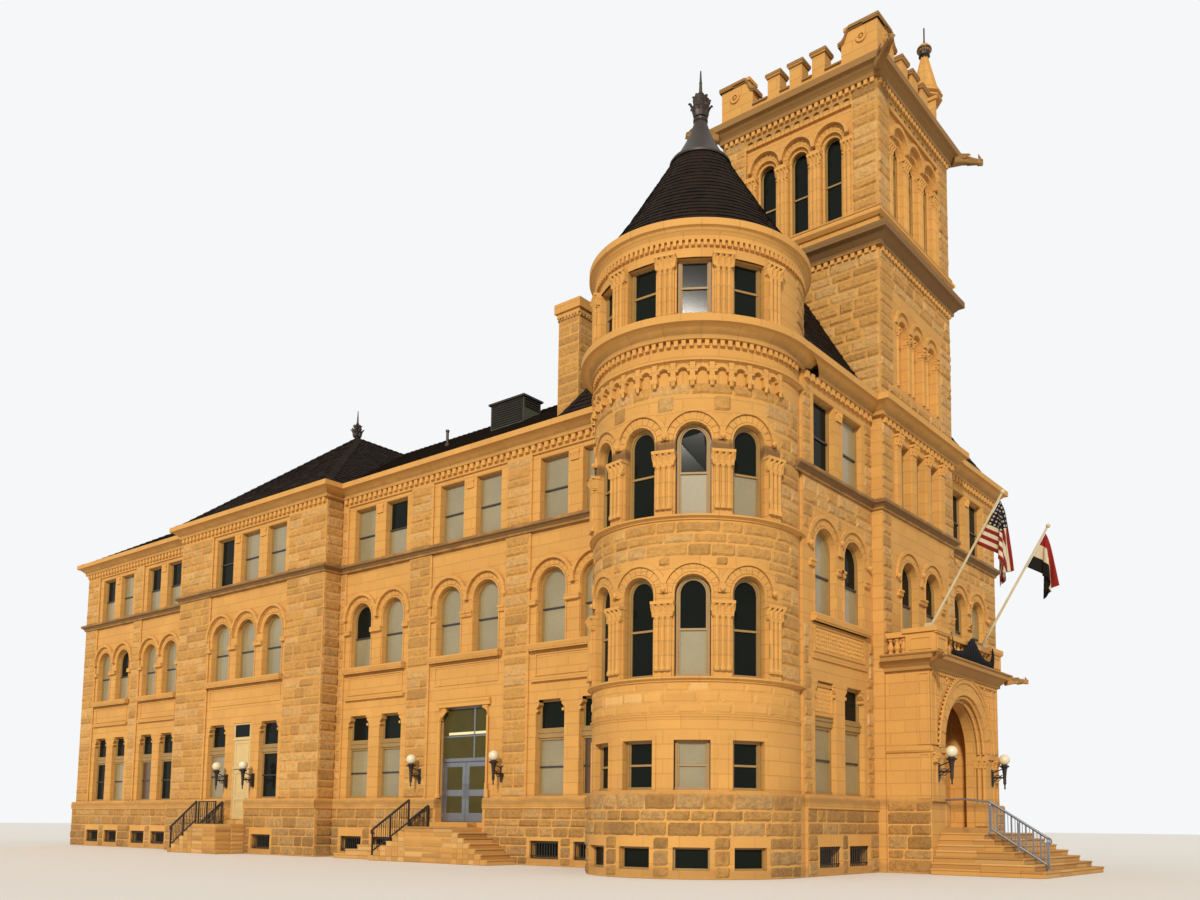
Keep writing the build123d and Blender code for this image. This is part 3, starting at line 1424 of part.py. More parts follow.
def bunting():
    """The dark cloth draped over the balcony's rail."""
    z = porch_top + balcony_height
    x = porch_x + 0.20 * M + 0.01 * M
    y = (porch_y[0] + porch_y[1]) / 2
    return box(x, x + 0.03 * M, y - 1.7 * M, y + 1.7 * M, z + join_gap, z + balustrade_height)


def wall_lamp(s, z=3.6 * M):
    """A globe lamp on an iron bracket, in a wall's frame."""
    globe = Pos(s, -0.42 * M, z) * Sphere(0.17 * M)
    stem = Pos(s, -0.42 * M, z - 0.45 * M) * Cylinder(0.05 * M, 0.7 * M)
    arm = box(s - 0.03 * M, s + 0.03 * M, -0.42 * M, -join_gap, z - 0.62 * M, z - 0.56 * M)
    plate = box(s - 0.06 * M, s + 0.06 * M, -0.05 * M, -join_gap, z - 0.8 * M, z - 0.4 * M)
    return fuse(globe, stem, arm, plate)


def wall_lamps():
    """Lamps beside the three entrances."""
    lamps = []
    for s in (side_door_centre - 2.2 * M, side_door_centre + 2.0 * M):
        lamps.append(wall_lamp(s))
    for s in (-1.0 * M, 1.0 * M):
        lamps.append(Pos(pavilion_centre, -pavilion_projection, 0) * wall_lamp(s))
    cy = (porch_y[0] + porch_y[1]) / 2
    for s in (-2.3 * M, 2.3 * M):
        lamps.append(Pos(porch_x, cy, 0) * Rot(0, 0, 90) * wall_lamp(s))
    return Compound(children=lamps)


nodes = {
    "south_wall_end": south_wall_end,
    "pavilion_wall_left": lambda: pavilion_side(-1),
    "pavilion_wall_right": lambda: pavilion_side(1),
    "pavilion_wall_middle": pavilion_middle,
    "south_wall_left": south_wall_left,
    "south_wall_right": south_wall_right,
    "south_wall_over_door": south_wall_over_door,
    "west_wall": west_wall,
    "north_wall": north_wall,
    "east_wall_south": east_wall_south,
    "east_wall_north": east_wall_north,
    "tower_wall_east": tower_east,
    "tower_wall_south": lambda: tower_side(-1),
    "tower_wall_north": lambda: tower_side(1),
    "tower_wall_west": tower_west,
    "turret_lower_wall": turret_lower_wall,
    "turret_middle_wall": turret_middle_wall,
    "turret_upper_wall": turret_upper_wall,
    "turret_crown_wall": turret_crown_wall,
    "turret_roof": turret_roof,
    "turret_finial": lambda: finial(turret_x, turret_y, turret_cone_top, 0.95 * M),
    "pavilion_finial": pavilion_finial,
    "tower_cornice": tower_cornice,
    "tower_parapet": tower_parapet,
    "tower_pinnacle": tower_pinnacle,
    "tower_roof": tower_roof,
    "main_roof": main_roof,
    "chimney": chimney,
    "roof_vent": roof_vent,
    "porch_walls": porch_walls,
    "balcony": balcony,
    "balustrade": balustrade,
    "porch_steps": porch_steps,
    "side_steps": side_steps,
    "pavilion_steps": pavilion_steps,
    "railings": railings,
    "side_door_frame": side_door_frame,
    "side_door_left": lambda: side_door_leaf(-1),
    "side_door_right": lambda: side_door_leaf(1),
    "pavilion_door_frame": pavilion_door_frame,
    "pavilion_door": pavilion_door,
    "main_door": main_door,
    "window_glass": window_glass,
    "turret_glass": turret_glass,
    "tower_glass": tower_glass,
    "first_floor": first_floor,
    "second_floor": second_floor,
    "third_floor": third_floor,
    "flagpoles": flagpoles,
    "striped_flag": striped_flag,
    "tricolour_flag": tricolour_flag,
    "bunting": bunting,
    "wall_lamps": wall_lamps,
}

os.makedirs("parts", exist_ok=True)
for name, make in nodes.items():
    export_step(make(), f"parts/{name}.step")
    print("wrote", name)
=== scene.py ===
from math import cos, exp, hypot, pi, radians, sin, sqrt
from random import Random

import bpy
from mathutils import Matrix, Vector


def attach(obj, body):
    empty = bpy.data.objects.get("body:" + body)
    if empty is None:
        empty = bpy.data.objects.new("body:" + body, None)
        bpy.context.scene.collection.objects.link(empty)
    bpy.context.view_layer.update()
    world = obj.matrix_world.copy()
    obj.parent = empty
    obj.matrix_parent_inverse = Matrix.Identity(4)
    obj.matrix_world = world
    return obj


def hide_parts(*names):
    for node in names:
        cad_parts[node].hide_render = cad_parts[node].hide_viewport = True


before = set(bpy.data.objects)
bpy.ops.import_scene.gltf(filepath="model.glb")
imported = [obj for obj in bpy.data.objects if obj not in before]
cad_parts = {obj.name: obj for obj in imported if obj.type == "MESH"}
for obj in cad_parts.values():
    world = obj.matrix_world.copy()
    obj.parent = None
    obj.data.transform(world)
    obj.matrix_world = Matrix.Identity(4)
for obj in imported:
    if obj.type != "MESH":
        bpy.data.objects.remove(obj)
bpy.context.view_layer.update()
print("frame loaded")

modelScale = 0.5  # scene metres for one metre of the real building, in which shapes are given below

# places of the fronts, as in the solids
houseLength = 42.6
houseDepth = 15.5
turretRadius = 3.0
turretAxis = (-3.0, -0.6)
towerX = (-5.5, 0.35)
towerY = (4.5, 10.35)
pavilionAxis = -26.12
pavilionFront = -0.8


# meshes
def asGiven(*point):
    return point


def newBatch():
    return {"verts": [], "faces": []}


def newBatches(count):
    return [newBatch() for _ in range(count)]


def addFaces(batch, points, faces, place=asGiven):
    start = len(batch["verts"])
    batch["verts"] += [place(*p) for p in points]
    batch["faces"] += [tuple(i + start for i in f) for f in faces]


def joinRings(n, steps, ends=True):
    # quads between closed rings of n points, each ring joined to the next, and a face at each end
    faces = []
    for k in range(steps):
        for i in range(n):
            j = (i + 1) % n
            faces.append((k * n + i, k * n + j, (k + 1) * n + j, (k + 1) * n + i))
    if ends:
        faces += [tuple(range(n))[::-1], tuple(steps * n + i for i in range(n))]
    return faces


def gridFaces(rows, columns):
    n = columns + 1
    return [(j * n + i, j * n + i + 1, (j + 1) * n + i + 1, (j + 1) * n + i)
            for j in range(rows) for i in range(columns)]


boxFaces = [(0, 3, 2, 1), (4, 5, 6, 7), (0, 1, 5, 4), (1, 2, 6, 5), (2, 3, 7, 6), (3, 0, 4, 7)]


def addBox(batch, place, s, y, z, parts=1):
    step = (s[1] - s[0]) / parts
    for k in range(parts):
        a = s[0] + step * k
        b = a + step
        points = [(a, y[0], z[0]), (b, y[0], z[0]), (b, y[1], z[0]), (a, y[1], z[0]),
                  (a, y[0], z[1]), (b, y[0], z[1]), (b, y[1], z[1]), (a, y[1], z[1])]
        addFaces(batch, points, boxFaces, place)


def addBoxes(batch, place, *boxes):
    for s, y, z in boxes:
        addBox(batch, place, s, y, z)


def addCourse(batch, place, s0, s1, profile, startMitre=0, endMitre=0, parts=1):
    # profile: closed loop of (y, z), running up its outer side
    n = len(profile)
    points = []
    for k in range(parts + 1):
        t = k / parts
        for y, z in profile:
            a = s0 + startMitre * y
            b = s1 - endMitre * y
            points.append((a + (b - a) * t, y, z))
    addFaces(batch, points, [f[::-1] for f in joinRings(n, parts)], place)


def addRing(batch, place, s, z, radii, y, start=0.0, end=180.0, parts=12, squash=1.0):
    # part of a ring in the plane of the wall, about (s, z)
    points = []
    for k in range(parts + 1):
        a = radians(start + (end - start) * k / parts)
        for r, depth in ((radii[0], y[0]), (radii[1], y[0]), (radii[1], y[1]), (radii[0], y[1])):
            points.append((s + r * cos(a), depth, z + r * sin(a) * squash))
    faces = joinRings(4, parts, False)
    if abs(end - start) < 359:
        faces += [(0, 3, 2, 1), (4 * parts, 4 * parts + 1, 4 * parts + 2, 4 * parts + 3)]
    addFaces(batch, points, faces, place)


def addLathe(batch, centre, profile, parts=12, turn=0.0):
    # profile: (radius, height) from the foot up, about a vertical axis
    points = []
    for r, h in profile:
        for k in range(parts):
            a = 2 * pi * k / parts + turn
            points.append((centre[0] + r * cos(a), centre[1] + r * sin(a), centre[2] + h))
    addFaces(batch, points, joinRings(parts, len(profile) - 1))


def addRod(batch, a, b, radius, parts=6):
    d = [b[i] - a[i] for i in range(3)]
    n = sqrt(sum(v * v for v in d))
    d = [v / n for v in d]
    up = (0, 0, 1) if abs(d[2]) < 0.9 else (1, 0, 0)
    u = [d[1] * up[2] - d[2] * up[1], d[2] * up[0] - d[0] * up[2], d[0] * up[1] - d[1] * up[0]]
    m = sqrt(sum(v * v for v in u))
    u = [v / m for v in u]
    w = [d[1] * u[2] - d[2] * u[1], d[2] * u[0] - d[0] * u[2], d[0] * u[1] - d[1] * u[0]]
    points = []
    for end in (a, b):
        for k in range(parts):
            t = 2 * pi * k / parts
            c, q = cos(t) * radius, sin(t) * radius
            points.append(tuple(end[i] + c * u[i] + q * w[i] for i in range(3)))
    addFaces(batch, points, joinRings(parts, 1))


def newObject(name, data):
    made = bpy.data.objects.new(name, data)
    bpy.context.scene.collection.objects.link(made)
    return made


def newMesh(name, verts, faces, material):
    mesh = bpy.data.meshes.new(name)
    mesh.from_pydata([tuple(v * modelScale for v in p) for p in verts], [], faces)
    mesh.validate()
    mesh.update()
    mesh.materials.append(material)
    return mesh


def finishPiece(name, batch, material, body="house", smooth=False):
    mesh = newMesh(name, batch["verts"], batch["faces"], material)
    piece = newObject(name, mesh)
    if smooth:
        mesh.shade_smooth()
        mesh.set_sharp_from_angle(angle=radians(35))
    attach(piece, body)
    print("made", name, len(mesh.polygons))
    return piece


# places: s along a front, y into the wall, z up
facings = {"south": (1, 0), "east": (0, 1), "north": (-1, 0), "west": (0, -1)}


def wallPlace(x, y, facing):
    a, b = facings[facing]
    return lambda s, d, z: (x + a * s - b * d, y + b * s + a * d, z)


south = wallPlace(0, 0, "south")
pavilion = wallPlace(pavilionAxis, pavilionFront, "south")
east = wallPlace(0, 0, "east")
north = wallPlace(0, houseDepth, "north")
west = wallPlace(-houseLength, 0, "west")
towerMiddle = (sum(towerX) / 2, sum(towerY) / 2)
towerEast = wallPlace(towerX[1], towerMiddle[1], "east")
towerSouth = wallPlace(towerMiddle[0], towerY[0], "south")
towerNorth = wallPlace(towerMiddle[0], towerY[1], "north")
towerWest = wallPlace(towerX[0], towerMiddle[1], "west")
towerFaces = (towerEast, towerSouth, towerNorth, towerWest)
porchMiddle = 7.425
porchFace = 1.75
porchSides = (4.60, 10.25)
porchFront = wallPlace(porchFace, porchMiddle, "east")
porchSouth = wallPlace(0, porchSides[0], "south")
porchNorth = wallPlace(0, porchSides[1], "north")


def shifted(place, ds=0.0, dy=0.0):
    return lambda s, y, z: place(s + ds, y + dy, z)


def radialPlace(x, y, z, angle):
    # leans out along -d from an upright axis
    a = radians(angle)
    return lambda s, d, h: (x - d * cos(a) - s * sin(a), y - d * sin(a) + s * cos(a), z + h)


def turretPlace(angle):
    def place(s, y, z):
        a = radians(angle) + s / turretRadius
        r = turretRadius - y
        return (turretAxis[0] + r * cos(a), turretAxis[1] + r * sin(a), z)
    return place


# shader groups
def newGroup(name, inputs, outputs):
    group = bpy.data.node_groups.new(name, "ShaderNodeTree")
    for label, kind, value in inputs:
        socket = group.interface.new_socket(label, in_out="INPUT", socket_type=kind)
        socket.default_value = value
    for label, kind in outputs:
        group.interface.new_socket(label, in_out="OUTPUT", socket_type=kind)
    a = group.nodes.new("NodeGroupInput")
    b = group.nodes.new("NodeGroupOutput")
    return group, a, b


def mathNode(tree, operation, *values, clamp=False):
    node = tree.nodes.new("ShaderNodeMath")
    node.operation = operation
    node.use_clamp = clamp
    for k, value in enumerate(values):
        if isinstance(value, (int, float)):
            node.inputs[k].default_value = value
        else:
            tree.links.new(value, node.inputs[k])
    return node.outputs[0]


def times(tree, *values, **more):
    return mathNode(tree, "MULTIPLY", *values, **more)


def plus(tree, *values, **more):
    return mathNode(tree, "ADD", *values, **more)


def minus(tree, *values, **more):
    return mathNode(tree, "SUBTRACT", *values, **more)


def isAbove(tree, *values, **more):
    return mathNode(tree, "GREATER_THAN", *values, **more)


def noiseNode(tree, vector, scale, detail=4.0, roughness=0.55):
    node = tree.nodes.new("ShaderNodeTexNoise")
    node.inputs["Detail"].default_value = detail
    node.inputs["Roughness"].default_value = roughness
    if isinstance(scale, (int, float)):
        node.inputs["Scale"].default_value = scale
    else:
        tree.links.new(scale, node.inputs["Scale"])
    tree.links.new(vector, node.inputs["Vector"])
    return node.outputs["Fac"]


def objectPoint(tree):
    return tree.nodes.new("ShaderNodeTexCoord").outputs["Object"]


def splitPoint(tree, vector):
    split = tree.nodes.new("ShaderNodeSeparateXYZ")
    tree.links.new(vector, split.inputs[0])
    return split.outputs


def makeGrain():
    group, a, b = newGroup(
        "stoneGrain",
        [("Scale", "NodeSocketFloat", 1.0), ("Blotch", "NodeSocketFloat", 0.5)],
        [("Tone", "NodeSocketFloat"), ("Height", "NodeSocketFloat")])
    point = objectPoint(group)
    fineScale = times(group, a.outputs["Scale"], 26.0)
    fine = noiseNode(group, point, fineScale, 6.0, 0.7)
    broadScale = times(group, a.outputs["Scale"], 1.3)
    broad = noiseNode(group, point, broadScale, 3.0, 0.6)
    pits = group.nodes.new("ShaderNodeTexVoronoi")
    group.links.new(point, pits.inputs["Vector"])
    group.links.new(times(group, a.outputs["Scale"], 34.0), pits.inputs["Scale"])
    deep = mathNode(group, "SMOOTH_MIN", pits.outputs["Distance"], 0.25, 0.1)
    tone = times(group, minus(group, broad, 0.5), a.outputs["Blotch"])
    speckle = times(group, minus(group, fine, 0.5), 0.35)
    tone = plus(group, tone, speckle)
    tone = plus(group, tone, 0.5, clamp=True)
    group.links.new(tone, b.inputs["Tone"])
    group.links.new(plus(group, times(group, fine, 0.6), deep), b.inputs["Height"])
    return group


def makeBand():
    group, a, b = newGroup(
        "levelBand",
        [("Low", "NodeSocketFloat", 0.0), ("High", "NodeSocketFloat", 1.0),
         ("Softness", "NodeSocketFloat", 0.1)],
        [("Mask", "NodeSocketFloat")])
    point = objectPoint(group)
    split = splitPoint(group, point)
    streak = noiseNode(group, point, 3.2, 4.0, 0.6)
    z = times(group, split["Z"], 1 / modelScale)
    z = plus(group, z, times(group, minus(group, streak, 0.5), 0.25))
    above = minus(group, z, a.outputs["Low"])
    below = minus(group, a.outputs["High"], z)
    up = mathNode(group, "DIVIDE", above, a.outputs["Softness"], clamp=True)
    down = mathNode(group, "DIVIDE", below, a.outputs["Softness"], clamp=True)
    group.links.new(times(group, up, down), b.inputs["Mask"])
    return group


def makeUnroll():
    # a point that runs along the front and up it, on flat fronts and round the turret
    group, a, b = newGroup(
        "unrolledFront", [("Round", "NodeSocketFloat", 0.0)], [("Vector", "NodeSocketVector")])
    split = splitPoint(group, objectPoint(group))
    normal = splitPoint(group, group.nodes.new("ShaderNodeNewGeometry").outputs["Normal"])
    x, y, z = (times(group, split[k], 1 / modelScale) for k in range(3))
    sideways = isAbove(group, mathNode(group, "ABSOLUTE", normal[0]),
                        mathNode(group, "ABSOLUTE", normal[1]))
    flat = plus(group, times(group, y, sideways),
                    times(group, x, minus(group, 1.0, sideways)))
    angle = mathNode(group, "ARCTAN2", minus(group, y, turretAxis[1]),
                     minus(group, x, turretAxis[0]))
    around = times(group, angle, turretRadius)
    along = plus(group, times(group, around, a.outputs["Round"]),
                     times(group, flat, minus(group, 1.0, a.outputs["Round"])))
    join = group.nodes.new("ShaderNodeCombineXYZ")
    group.links.new(along, join.inputs[0])
    group.links.new(z, join.inputs[1])
    group.links.new(join.outputs[0], b.inputs["Vector"])
    return group


grainGroup = makeGrain()
bandGroup = makeBand()
unrollGroup = makeUnroll()


def placeGroup(tree, group, **values):
    node = tree.nodes.new("ShaderNodeGroup")
    node.node_tree = group
    for key, value in values.items():
        node.inputs[key].default_value = value
    return node


def srgb(text):
    v = [int(text[i:i + 2], 16) / 255 for i in (1, 3, 5)]
    return tuple(c / 12.92 if c <= 0.04045 else ((c + 0.055) / 1.055) ** 2.4 for c in v) + (1.0,)


def mixColour(tree, factor, low, high, blend="MIX"):
    node = tree.nodes.new("ShaderNodeMix")
    node.data_type = "RGBA"
    node.blend_type = blend
    for socket, value in ((node.inputs[0], factor), (node.inputs[6], low), (node.inputs[7], high)):
        if isinstance(value, str):
            socket.default_value = srgb(value)
        elif isinstance(value, (float, int, tuple)):
            socket.default_value = value
        else:
            tree.links.new(value, socket)
    return node.outputs[2]


def newMaterial(name, roughness=0.8, **sockets):
    material = bpy.data.materials.new(name)
    material.use_nodes = True
    tree = material.node_tree
    shader = tree.nodes["Principled BSDF"]
    shader.inputs["Roughness"].default_value = roughness
    for key, value in sockets.items():
        shader.inputs[key.replace("_", " ")].default_value = value
    return material, tree, shader


def addBump(tree, shader, height, strength, distance):
    bump = tree.nodes.new("ShaderNodeBump")
    bump.inputs["Strength"].default_value = strength
    bump.inputs["Distance"].default_value = distance
    tree.links.new(height, bump.inputs["Height"])
    tree.links.new(bump.outputs[0], shader.inputs["Normal"])
    return bump


stoneLook = {
    "light": "#DFAA5E", "mid": "#CE9749", "deep": "#AC7936", "stain": "#4E3822", "joint": "#B28242",
    "darkBlock": "#76542B", "paleBlock": "#E6BC7C", "courseHeight": 0.38, "blockLength": 0.95,
}


def stoneMaterial(name, joints=True, isRound=False, stained=(), perBlock=0.0, darken=0.0, rough=0.6,
                  deepBelow=0.0, hollowShade=0.0):
    material, tree, shader = newMaterial(name, 0.88)
    grain = placeGroup(tree, grainGroup, Scale=1.0, Blotch=0.9)
    colour = mixColour(tree, grain.outputs["Tone"], stoneLook["deep"], stoneLook["light"])
    colour = mixColour(tree, 0.45, colour, stoneLook["mid"])
    height = grain.outputs["Height"]
    if perBlock:
        geometry = tree.nodes.new("ShaderNodeNewGeometry")
        pick = geometry.outputs["Random Per Island"]
        shade = times(tree, mathNode(tree, "POWER", pick, 2.2), perBlock)
        colour = mixColour(tree, shade, colour, stoneLook["darkBlock"])
        paler = isAbove(tree, mathNode(tree, "FRACT", times(tree, pick, 7.0)), 0.72)
        colour = mixColour(tree, times(tree, paler, 0.35), colour, stoneLook["paleBlock"])
    # the low parts of the rugged relief are painted darker: painted shade in the hollows of the rock face
    if hollowShade:
        point = objectPoint(tree)
        rugged = noiseNode(tree, point, 13.0, 5.0, 0.75)
        hollow = times(tree, minus(tree, 0.56, rugged), 6.0, clamp=True)
        colour = mixColour(tree, times(tree, hollow, hollowShade), colour, stoneLook["darkBlock"])
        height = plus(tree, height, times(tree, rugged, 3.5))
    if joints:
        unroll = placeGroup(tree, unrollGroup, Round=1.0 if isRound else 0.0)
        brick = tree.nodes.new("ShaderNodeTexBrick")
        sockets = {
            "Scale": 1.0, "Brick Width": stoneLook["blockLength"], "Row Height": stoneLook["courseHeight"],
            "Mortar Size": 0.012, "Mortar Smooth": 0.2, "Color1": (0.0, 0.0, 0.0, 1),
            "Color2": (1.0, 1.0, 1.0, 1), "Mortar": (0.5, 0.5, 0.5, 1),
        }
        for key, value in sockets.items():
            brick.inputs[key].default_value = value
        tree.links.new(unroll.outputs[0], brick.inputs["Vector"])
        tone = times(tree, brick.outputs["Color"], 0.22)
        colour = mixColour(tree, tone, colour, "#A5773D")
        seam = times(tree, brick.outputs["Fac"], 0.55)
        colour = mixColour(tree, seam, colour, stoneLook["joint"])
        height = minus(tree, height, times(tree, brick.outputs["Fac"], 2.2))
    for low, high, amount in stained:
        band = placeGroup(tree, bandGroup, Low=low, High=high, Softness=0.16)
        wash = times(tree, band.outputs[0], amount)
        colour = mixColour(tree, wash, colour, stoneLook["stain"])
    if deepBelow:
        # grime that thins out upwards and runs in blotches
        band = placeGroup(tree, bandGroup, Low=-2.0, High=deepBelow, Softness=1.6)
        blotch = placeGroup(tree, grainGroup, Scale=0.7, Blotch=2.2)
        wash = times(tree, times(tree, band.outputs[0], blotch.outputs["Tone"]), 0.5)
        colour = mixColour(tree, wash, colour, stoneLook["stain"])
    if darken:
        colour = mixColour(tree, darken, colour, stoneLook["stain"])
    tree.links.new(colour, shader.inputs["Base Color"])
    addBump(tree, shader, height, rough, 0.012)
    return material


houseStains = [(11.05, 11.50, 0.75), (13.95, 14.20, 0.25), (14.10, 14.38, 0.45), (7.0, 7.12, 0.5),
               (1.86, 2.24, 0.40), (-0.1, 0.35, 0.3)]
towerStains = houseStains + [(19.6, 20.4, 0.75), (20.85, 21.08, 0.6), (24.9, 25.4, 0.35)]
dressedStone = stoneMaterial("dressedLimestone", stained=houseStains)
turretStone = stoneMaterial("turretLimestone", isRound=True, stained=houseStains)
towerStone = stoneMaterial("towerLimestone", stained=towerStains)
rockStone = stoneMaterial("rockFacedLimestone", joints=False, perBlock=0.34, rough=0.9,
                          stained=[(24.9, 25.4, 0.3)], hollowShade=0.30)
beltStone = stoneMaterial("jointedLimestone", joints=False, perBlock=0.2, rough=0.8)
baseStone = stoneMaterial("baseLimestone", joints=False, perBlock=0.42, rough=1.0, darken=0.10, deepBelow=2.2,
                          hollowShade=0.42)
balconyStone = stoneMaterial("weatheredBalcony", joints=False, darken=0.42, rough=0.7)
carvedStone = stoneMaterial("carvedLimestone", joints=False, rough=0.5)
ledgeStone = stoneMaterial("stainedLedge", joints=False, darken=0.62, rough=0.7)
stepStone = stoneMaterial("wornSteps", joints=False, perBlock=0.5, darken=0.16)


def shingleMaterial():
    material, tree, shader = newMaterial("brownShingles", 0.85, Specular_IOR_Level=0.12)
    grain = placeGroup(tree, grainGroup, Scale=1.4, Blotch=0.8)
    geometry = tree.nodes.new("ShaderNodeNewGeometry")
    colour = mixColour(tree, grain.outputs["Tone"], "#100A06", "#241911")
    pick = times(tree, geometry.outputs["Random Per Island"], 0.5)
    colour = mixColour(tree, pick, colour, "#2B1E14")
    tree.links.new(colour, shader.inputs["Base Color"])
    addBump(tree, shader, grain.outputs["Height"], 0.5, 0.01)
    return material


def paintMaterial(name, light, dark, roughness=0.5, metallic=0.0, bump=0.15):
    material, tree, shader = newMaterial(name, roughness, Metallic=metallic)
    grain = placeGroup(tree, grainGroup, Scale=2.5, Blotch=0.7)
    tree.links.new(mixColour(tree, grain.outputs["Tone"], dark, light), shader.inputs["Base Color"])
    rough = plus(tree, times(tree, grain.outputs["Tone"], 0.2), roughness - 0.1)
    tree.links.new(rough, shader.inputs["Roughness"])
    addBump(tree, shader, grain.outputs["Height"], bump, 0.003)
    return material


def glassMaterial(name, tintAndShade, transmission=0.08, roughness=0.09):
    material, tree, shader = newMaterial(name, roughness, Specular_IOR_Level=0.03)
    shader.inputs["Transmission Weight"].default_value = transmission
    grain = placeGroup(tree, grainGroup, Scale=0.25, Blotch=1.0)
    tree.links.new(mixColour(tree, grain.outputs["Tone"], tintAndShade[0], tintAndShade[1]), shader.inputs["Base Color"])
    return material


shingle = shingleMaterial()
sashPaint = paintMaterial("sashPaint", "#A8854C", "#7C6034", 0.55)
darkSash = paintMaterial("meetingRailPaint", "#3A3026", "#221B15", 0.5)
cream = paintMaterial("creamPaint", "#D8BE86", "#B99B62", 0.6)
ironPaint = paintMaterial("ironPaint", "#33291F", "#1D1713", 0.55, 0.3)
greyMetal = paintMaterial("greyDoorMetal", "#8D8F93", "#74767B", 0.35, 0.75)
ventMetal = paintMaterial("ventMetal", "#5E5F4C", "#383A2F", 0.6, 0.4, 0.4)
roofMetal = paintMaterial("roofMetal", "#4A4038", "#2C2622", 0.5, 0.6)
deckFelt = paintMaterial("deckFelt", "#57524B", "#3D3934", 0.9)
boards = paintMaterial("floorBoards", "#8C6A46", "#6A4C30", 0.7)
polePaint = paintMaterial("polePaint", "#D2C39C", "#A8966E", 0.4)
# the near-black colour of the window panes is painted shade of the unlit rooms behind them
paintedRoomShadeGlass = glassMaterial("paintedRoomShadeGlass", ("#0B0D0B", "#1C211B"))
# near-black sheets behind the windows: painted shade standing in for the dark rooms
roomShadeBackGlass = glassMaterial("innerGlassPaintedShade", ("#060706", "#0E100E"), 0.1, 0.2)
doorGlass = glassMaterial("doorGlass", ("#2B2A1A", "#5E5528"), 0.1)
globeGlass, globeTree, globeShader = newMaterial("globeGlass", 0.25)
globeShader.inputs["Transmission Weight"].default_value = 0.15
globeGrain = placeGroup(globeTree, grainGroup, Scale=1.0, Blotch=0.4)
globeColour = mixColour(globeTree, globeGrain.outputs["Tone"], "#D9C9A0", "#F5EBCF")
globeTree.links.new(globeColour, globeShader.inputs["Base Color"])
oak = paintMaterial("darkOak", "#5B3E22", "#3A2613", 0.5)
stripGlow = paintMaterial("lightStrip", "#F4E9C2", "#DCCB98", 0.4)


def blindMaterial(name, light, dark):
    material, tree, shader = newMaterial(name, 0.35, Coat_Weight=0.6)
    point = objectPoint(tree)
    split = splitPoint(tree, point)
    # each slat is painted darker towards its top: painted shade across the slats, and the same ramp gives the
    # slat bump
    slat = mathNode(tree, "FRACT", times(tree, split["Z"], 1 / (0.055 * modelScale)))
    grain = placeGroup(tree, grainGroup, Scale=0.6, Blotch=0.9)
    colour = mixColour(tree, grain.outputs["Tone"], dark, light)
    colour = mixColour(tree, times(tree, slat, 0.35), colour, dark)
    tree.links.new(colour, shader.inputs["Base Color"])
    addBump(tree, shader, slat, 0.5, 0.004)
    return material


def clothMaterial(name, paint):
    material, tree, shader = newMaterial(name, 0.85, Specular_IOR_Level=0.2)
    uv = tree.nodes.new("ShaderNodeUVMap")
    split = splitPoint(tree, uv.outputs[0])
    colour = paint(tree, split[0], split[1])
    grain = placeGroup(tree, grainGroup, Scale=3.0, Blotch=0.6)
    shade = times(tree, grain.outputs["Tone"], 0.25)
    tree.links.new(mixColour(tree, shade, colour, "#20160F"), shader.inputs["Base Color"])
    addBump(tree, shader, grain.outputs["Height"], 0.25, 0.002)
    return material


def paintStripes(tree, u, v):
    row = mathNode(tree, "FLOOR", times(tree, v, 13.0))
    odd = isAbove(tree, mathNode(tree, "MODULO", row, 2.0), 0.5)
    colour = mixColour(tree, odd, "#7E1D18", "#C9BB9C")
    across = minus(tree, mathNode(tree, "FRACT", times(tree, u, 15.0)), 0.5)
    down = minus(tree, mathNode(tree, "FRACT", times(tree, v, 13.0)), 0.5)
    reach = plus(tree, times(tree, across, across), times(tree, down, down))
    field = mixColour(tree, mathNode(tree, "LESS_THAN", reach, 0.07), "#0B0E1C", "#A89C84")
    inField = times(tree, mathNode(tree, "LESS_THAN", u, 0.4), isAbove(tree, v, 6 / 13))
    return mixColour(tree, inField, colour, field)


def paintBands(tree, u, v):
    colour = mixColour(tree, isAbove(tree, v, 1 / 3), "#17130F", "#CDBE9C")
    return mixColour(tree, isAbove(tree, v, 2 / 3), colour, "#8C2119")


def paintNavy(tree, u, v):
    # each fold is painted from near-black to dark navy across its width: painted shade of the folds
    foldShade = mathNode(tree, "FRACT", times(tree, u, 17.0))
    return mixColour(tree, foldShade, "#07080D", "#12131C")


stripedCloth = clothMaterial("stripedCloth", paintStripes)
tricolourCloth = clothMaterial("tricolourCloth", paintBands)
navyCloth = clothMaterial("navyCloth", paintNavy)
blindCloth = blindMaterial("paleBlinds", "#A89A73", "#6E6549")
brownBlindCloth = blindMaterial("brownBlinds", "#5C3E20", "#33220F")
print("materials made")

# materials of the solids that stay
nodeFinish = (
    (dressedStone, "south_wall_end pavilion_wall_left pavilion_wall_right pavilion_wall_middle "
                   "south_wall_left south_wall_right south_wall_over_door west_wall north_wall "
                   "east_wall_south east_wall_north porch_walls chimney"),
    (turretStone, "turret_lower_wall turret_middle_wall turret_upper_wall turret_crown_wall"),
    (towerStone, "tower_wall_east tower_wall_south tower_wall_north tower_wall_west tower_parapet "
                 "tower_pinnacle"),
    (ledgeStone, "tower_cornice"),
    (carvedStone, "balustrade"),
    (balconyStone, "balcony"),
    (stepStone, "porch_steps side_steps pavilion_steps"),
    (shingle, "main_roof turret_roof"),
    (roofMetal, "turret_finial pavilion_finial"),
    (ventMetal, "roof_vent"),
    (ironPaint, "railings wall_lamps"),
    (deckFelt, "tower_roof"),
    (boards, "first_floor second_floor third_floor"),
    (greyMetal, "side_door_frame side_door_left side_door_right"),
    (cream, "pavilion_door_frame pavilion_door main_door"),
    (roomShadeBackGlass, "window_glass turret_glass tower_glass"),
    (polePaint, "flagpoles"),
)
for material, names in nodeFinish:
    for name in names.split():
        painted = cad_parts[name].data.materials
        painted.clear()
        painted.append(material)
print("solids painted")


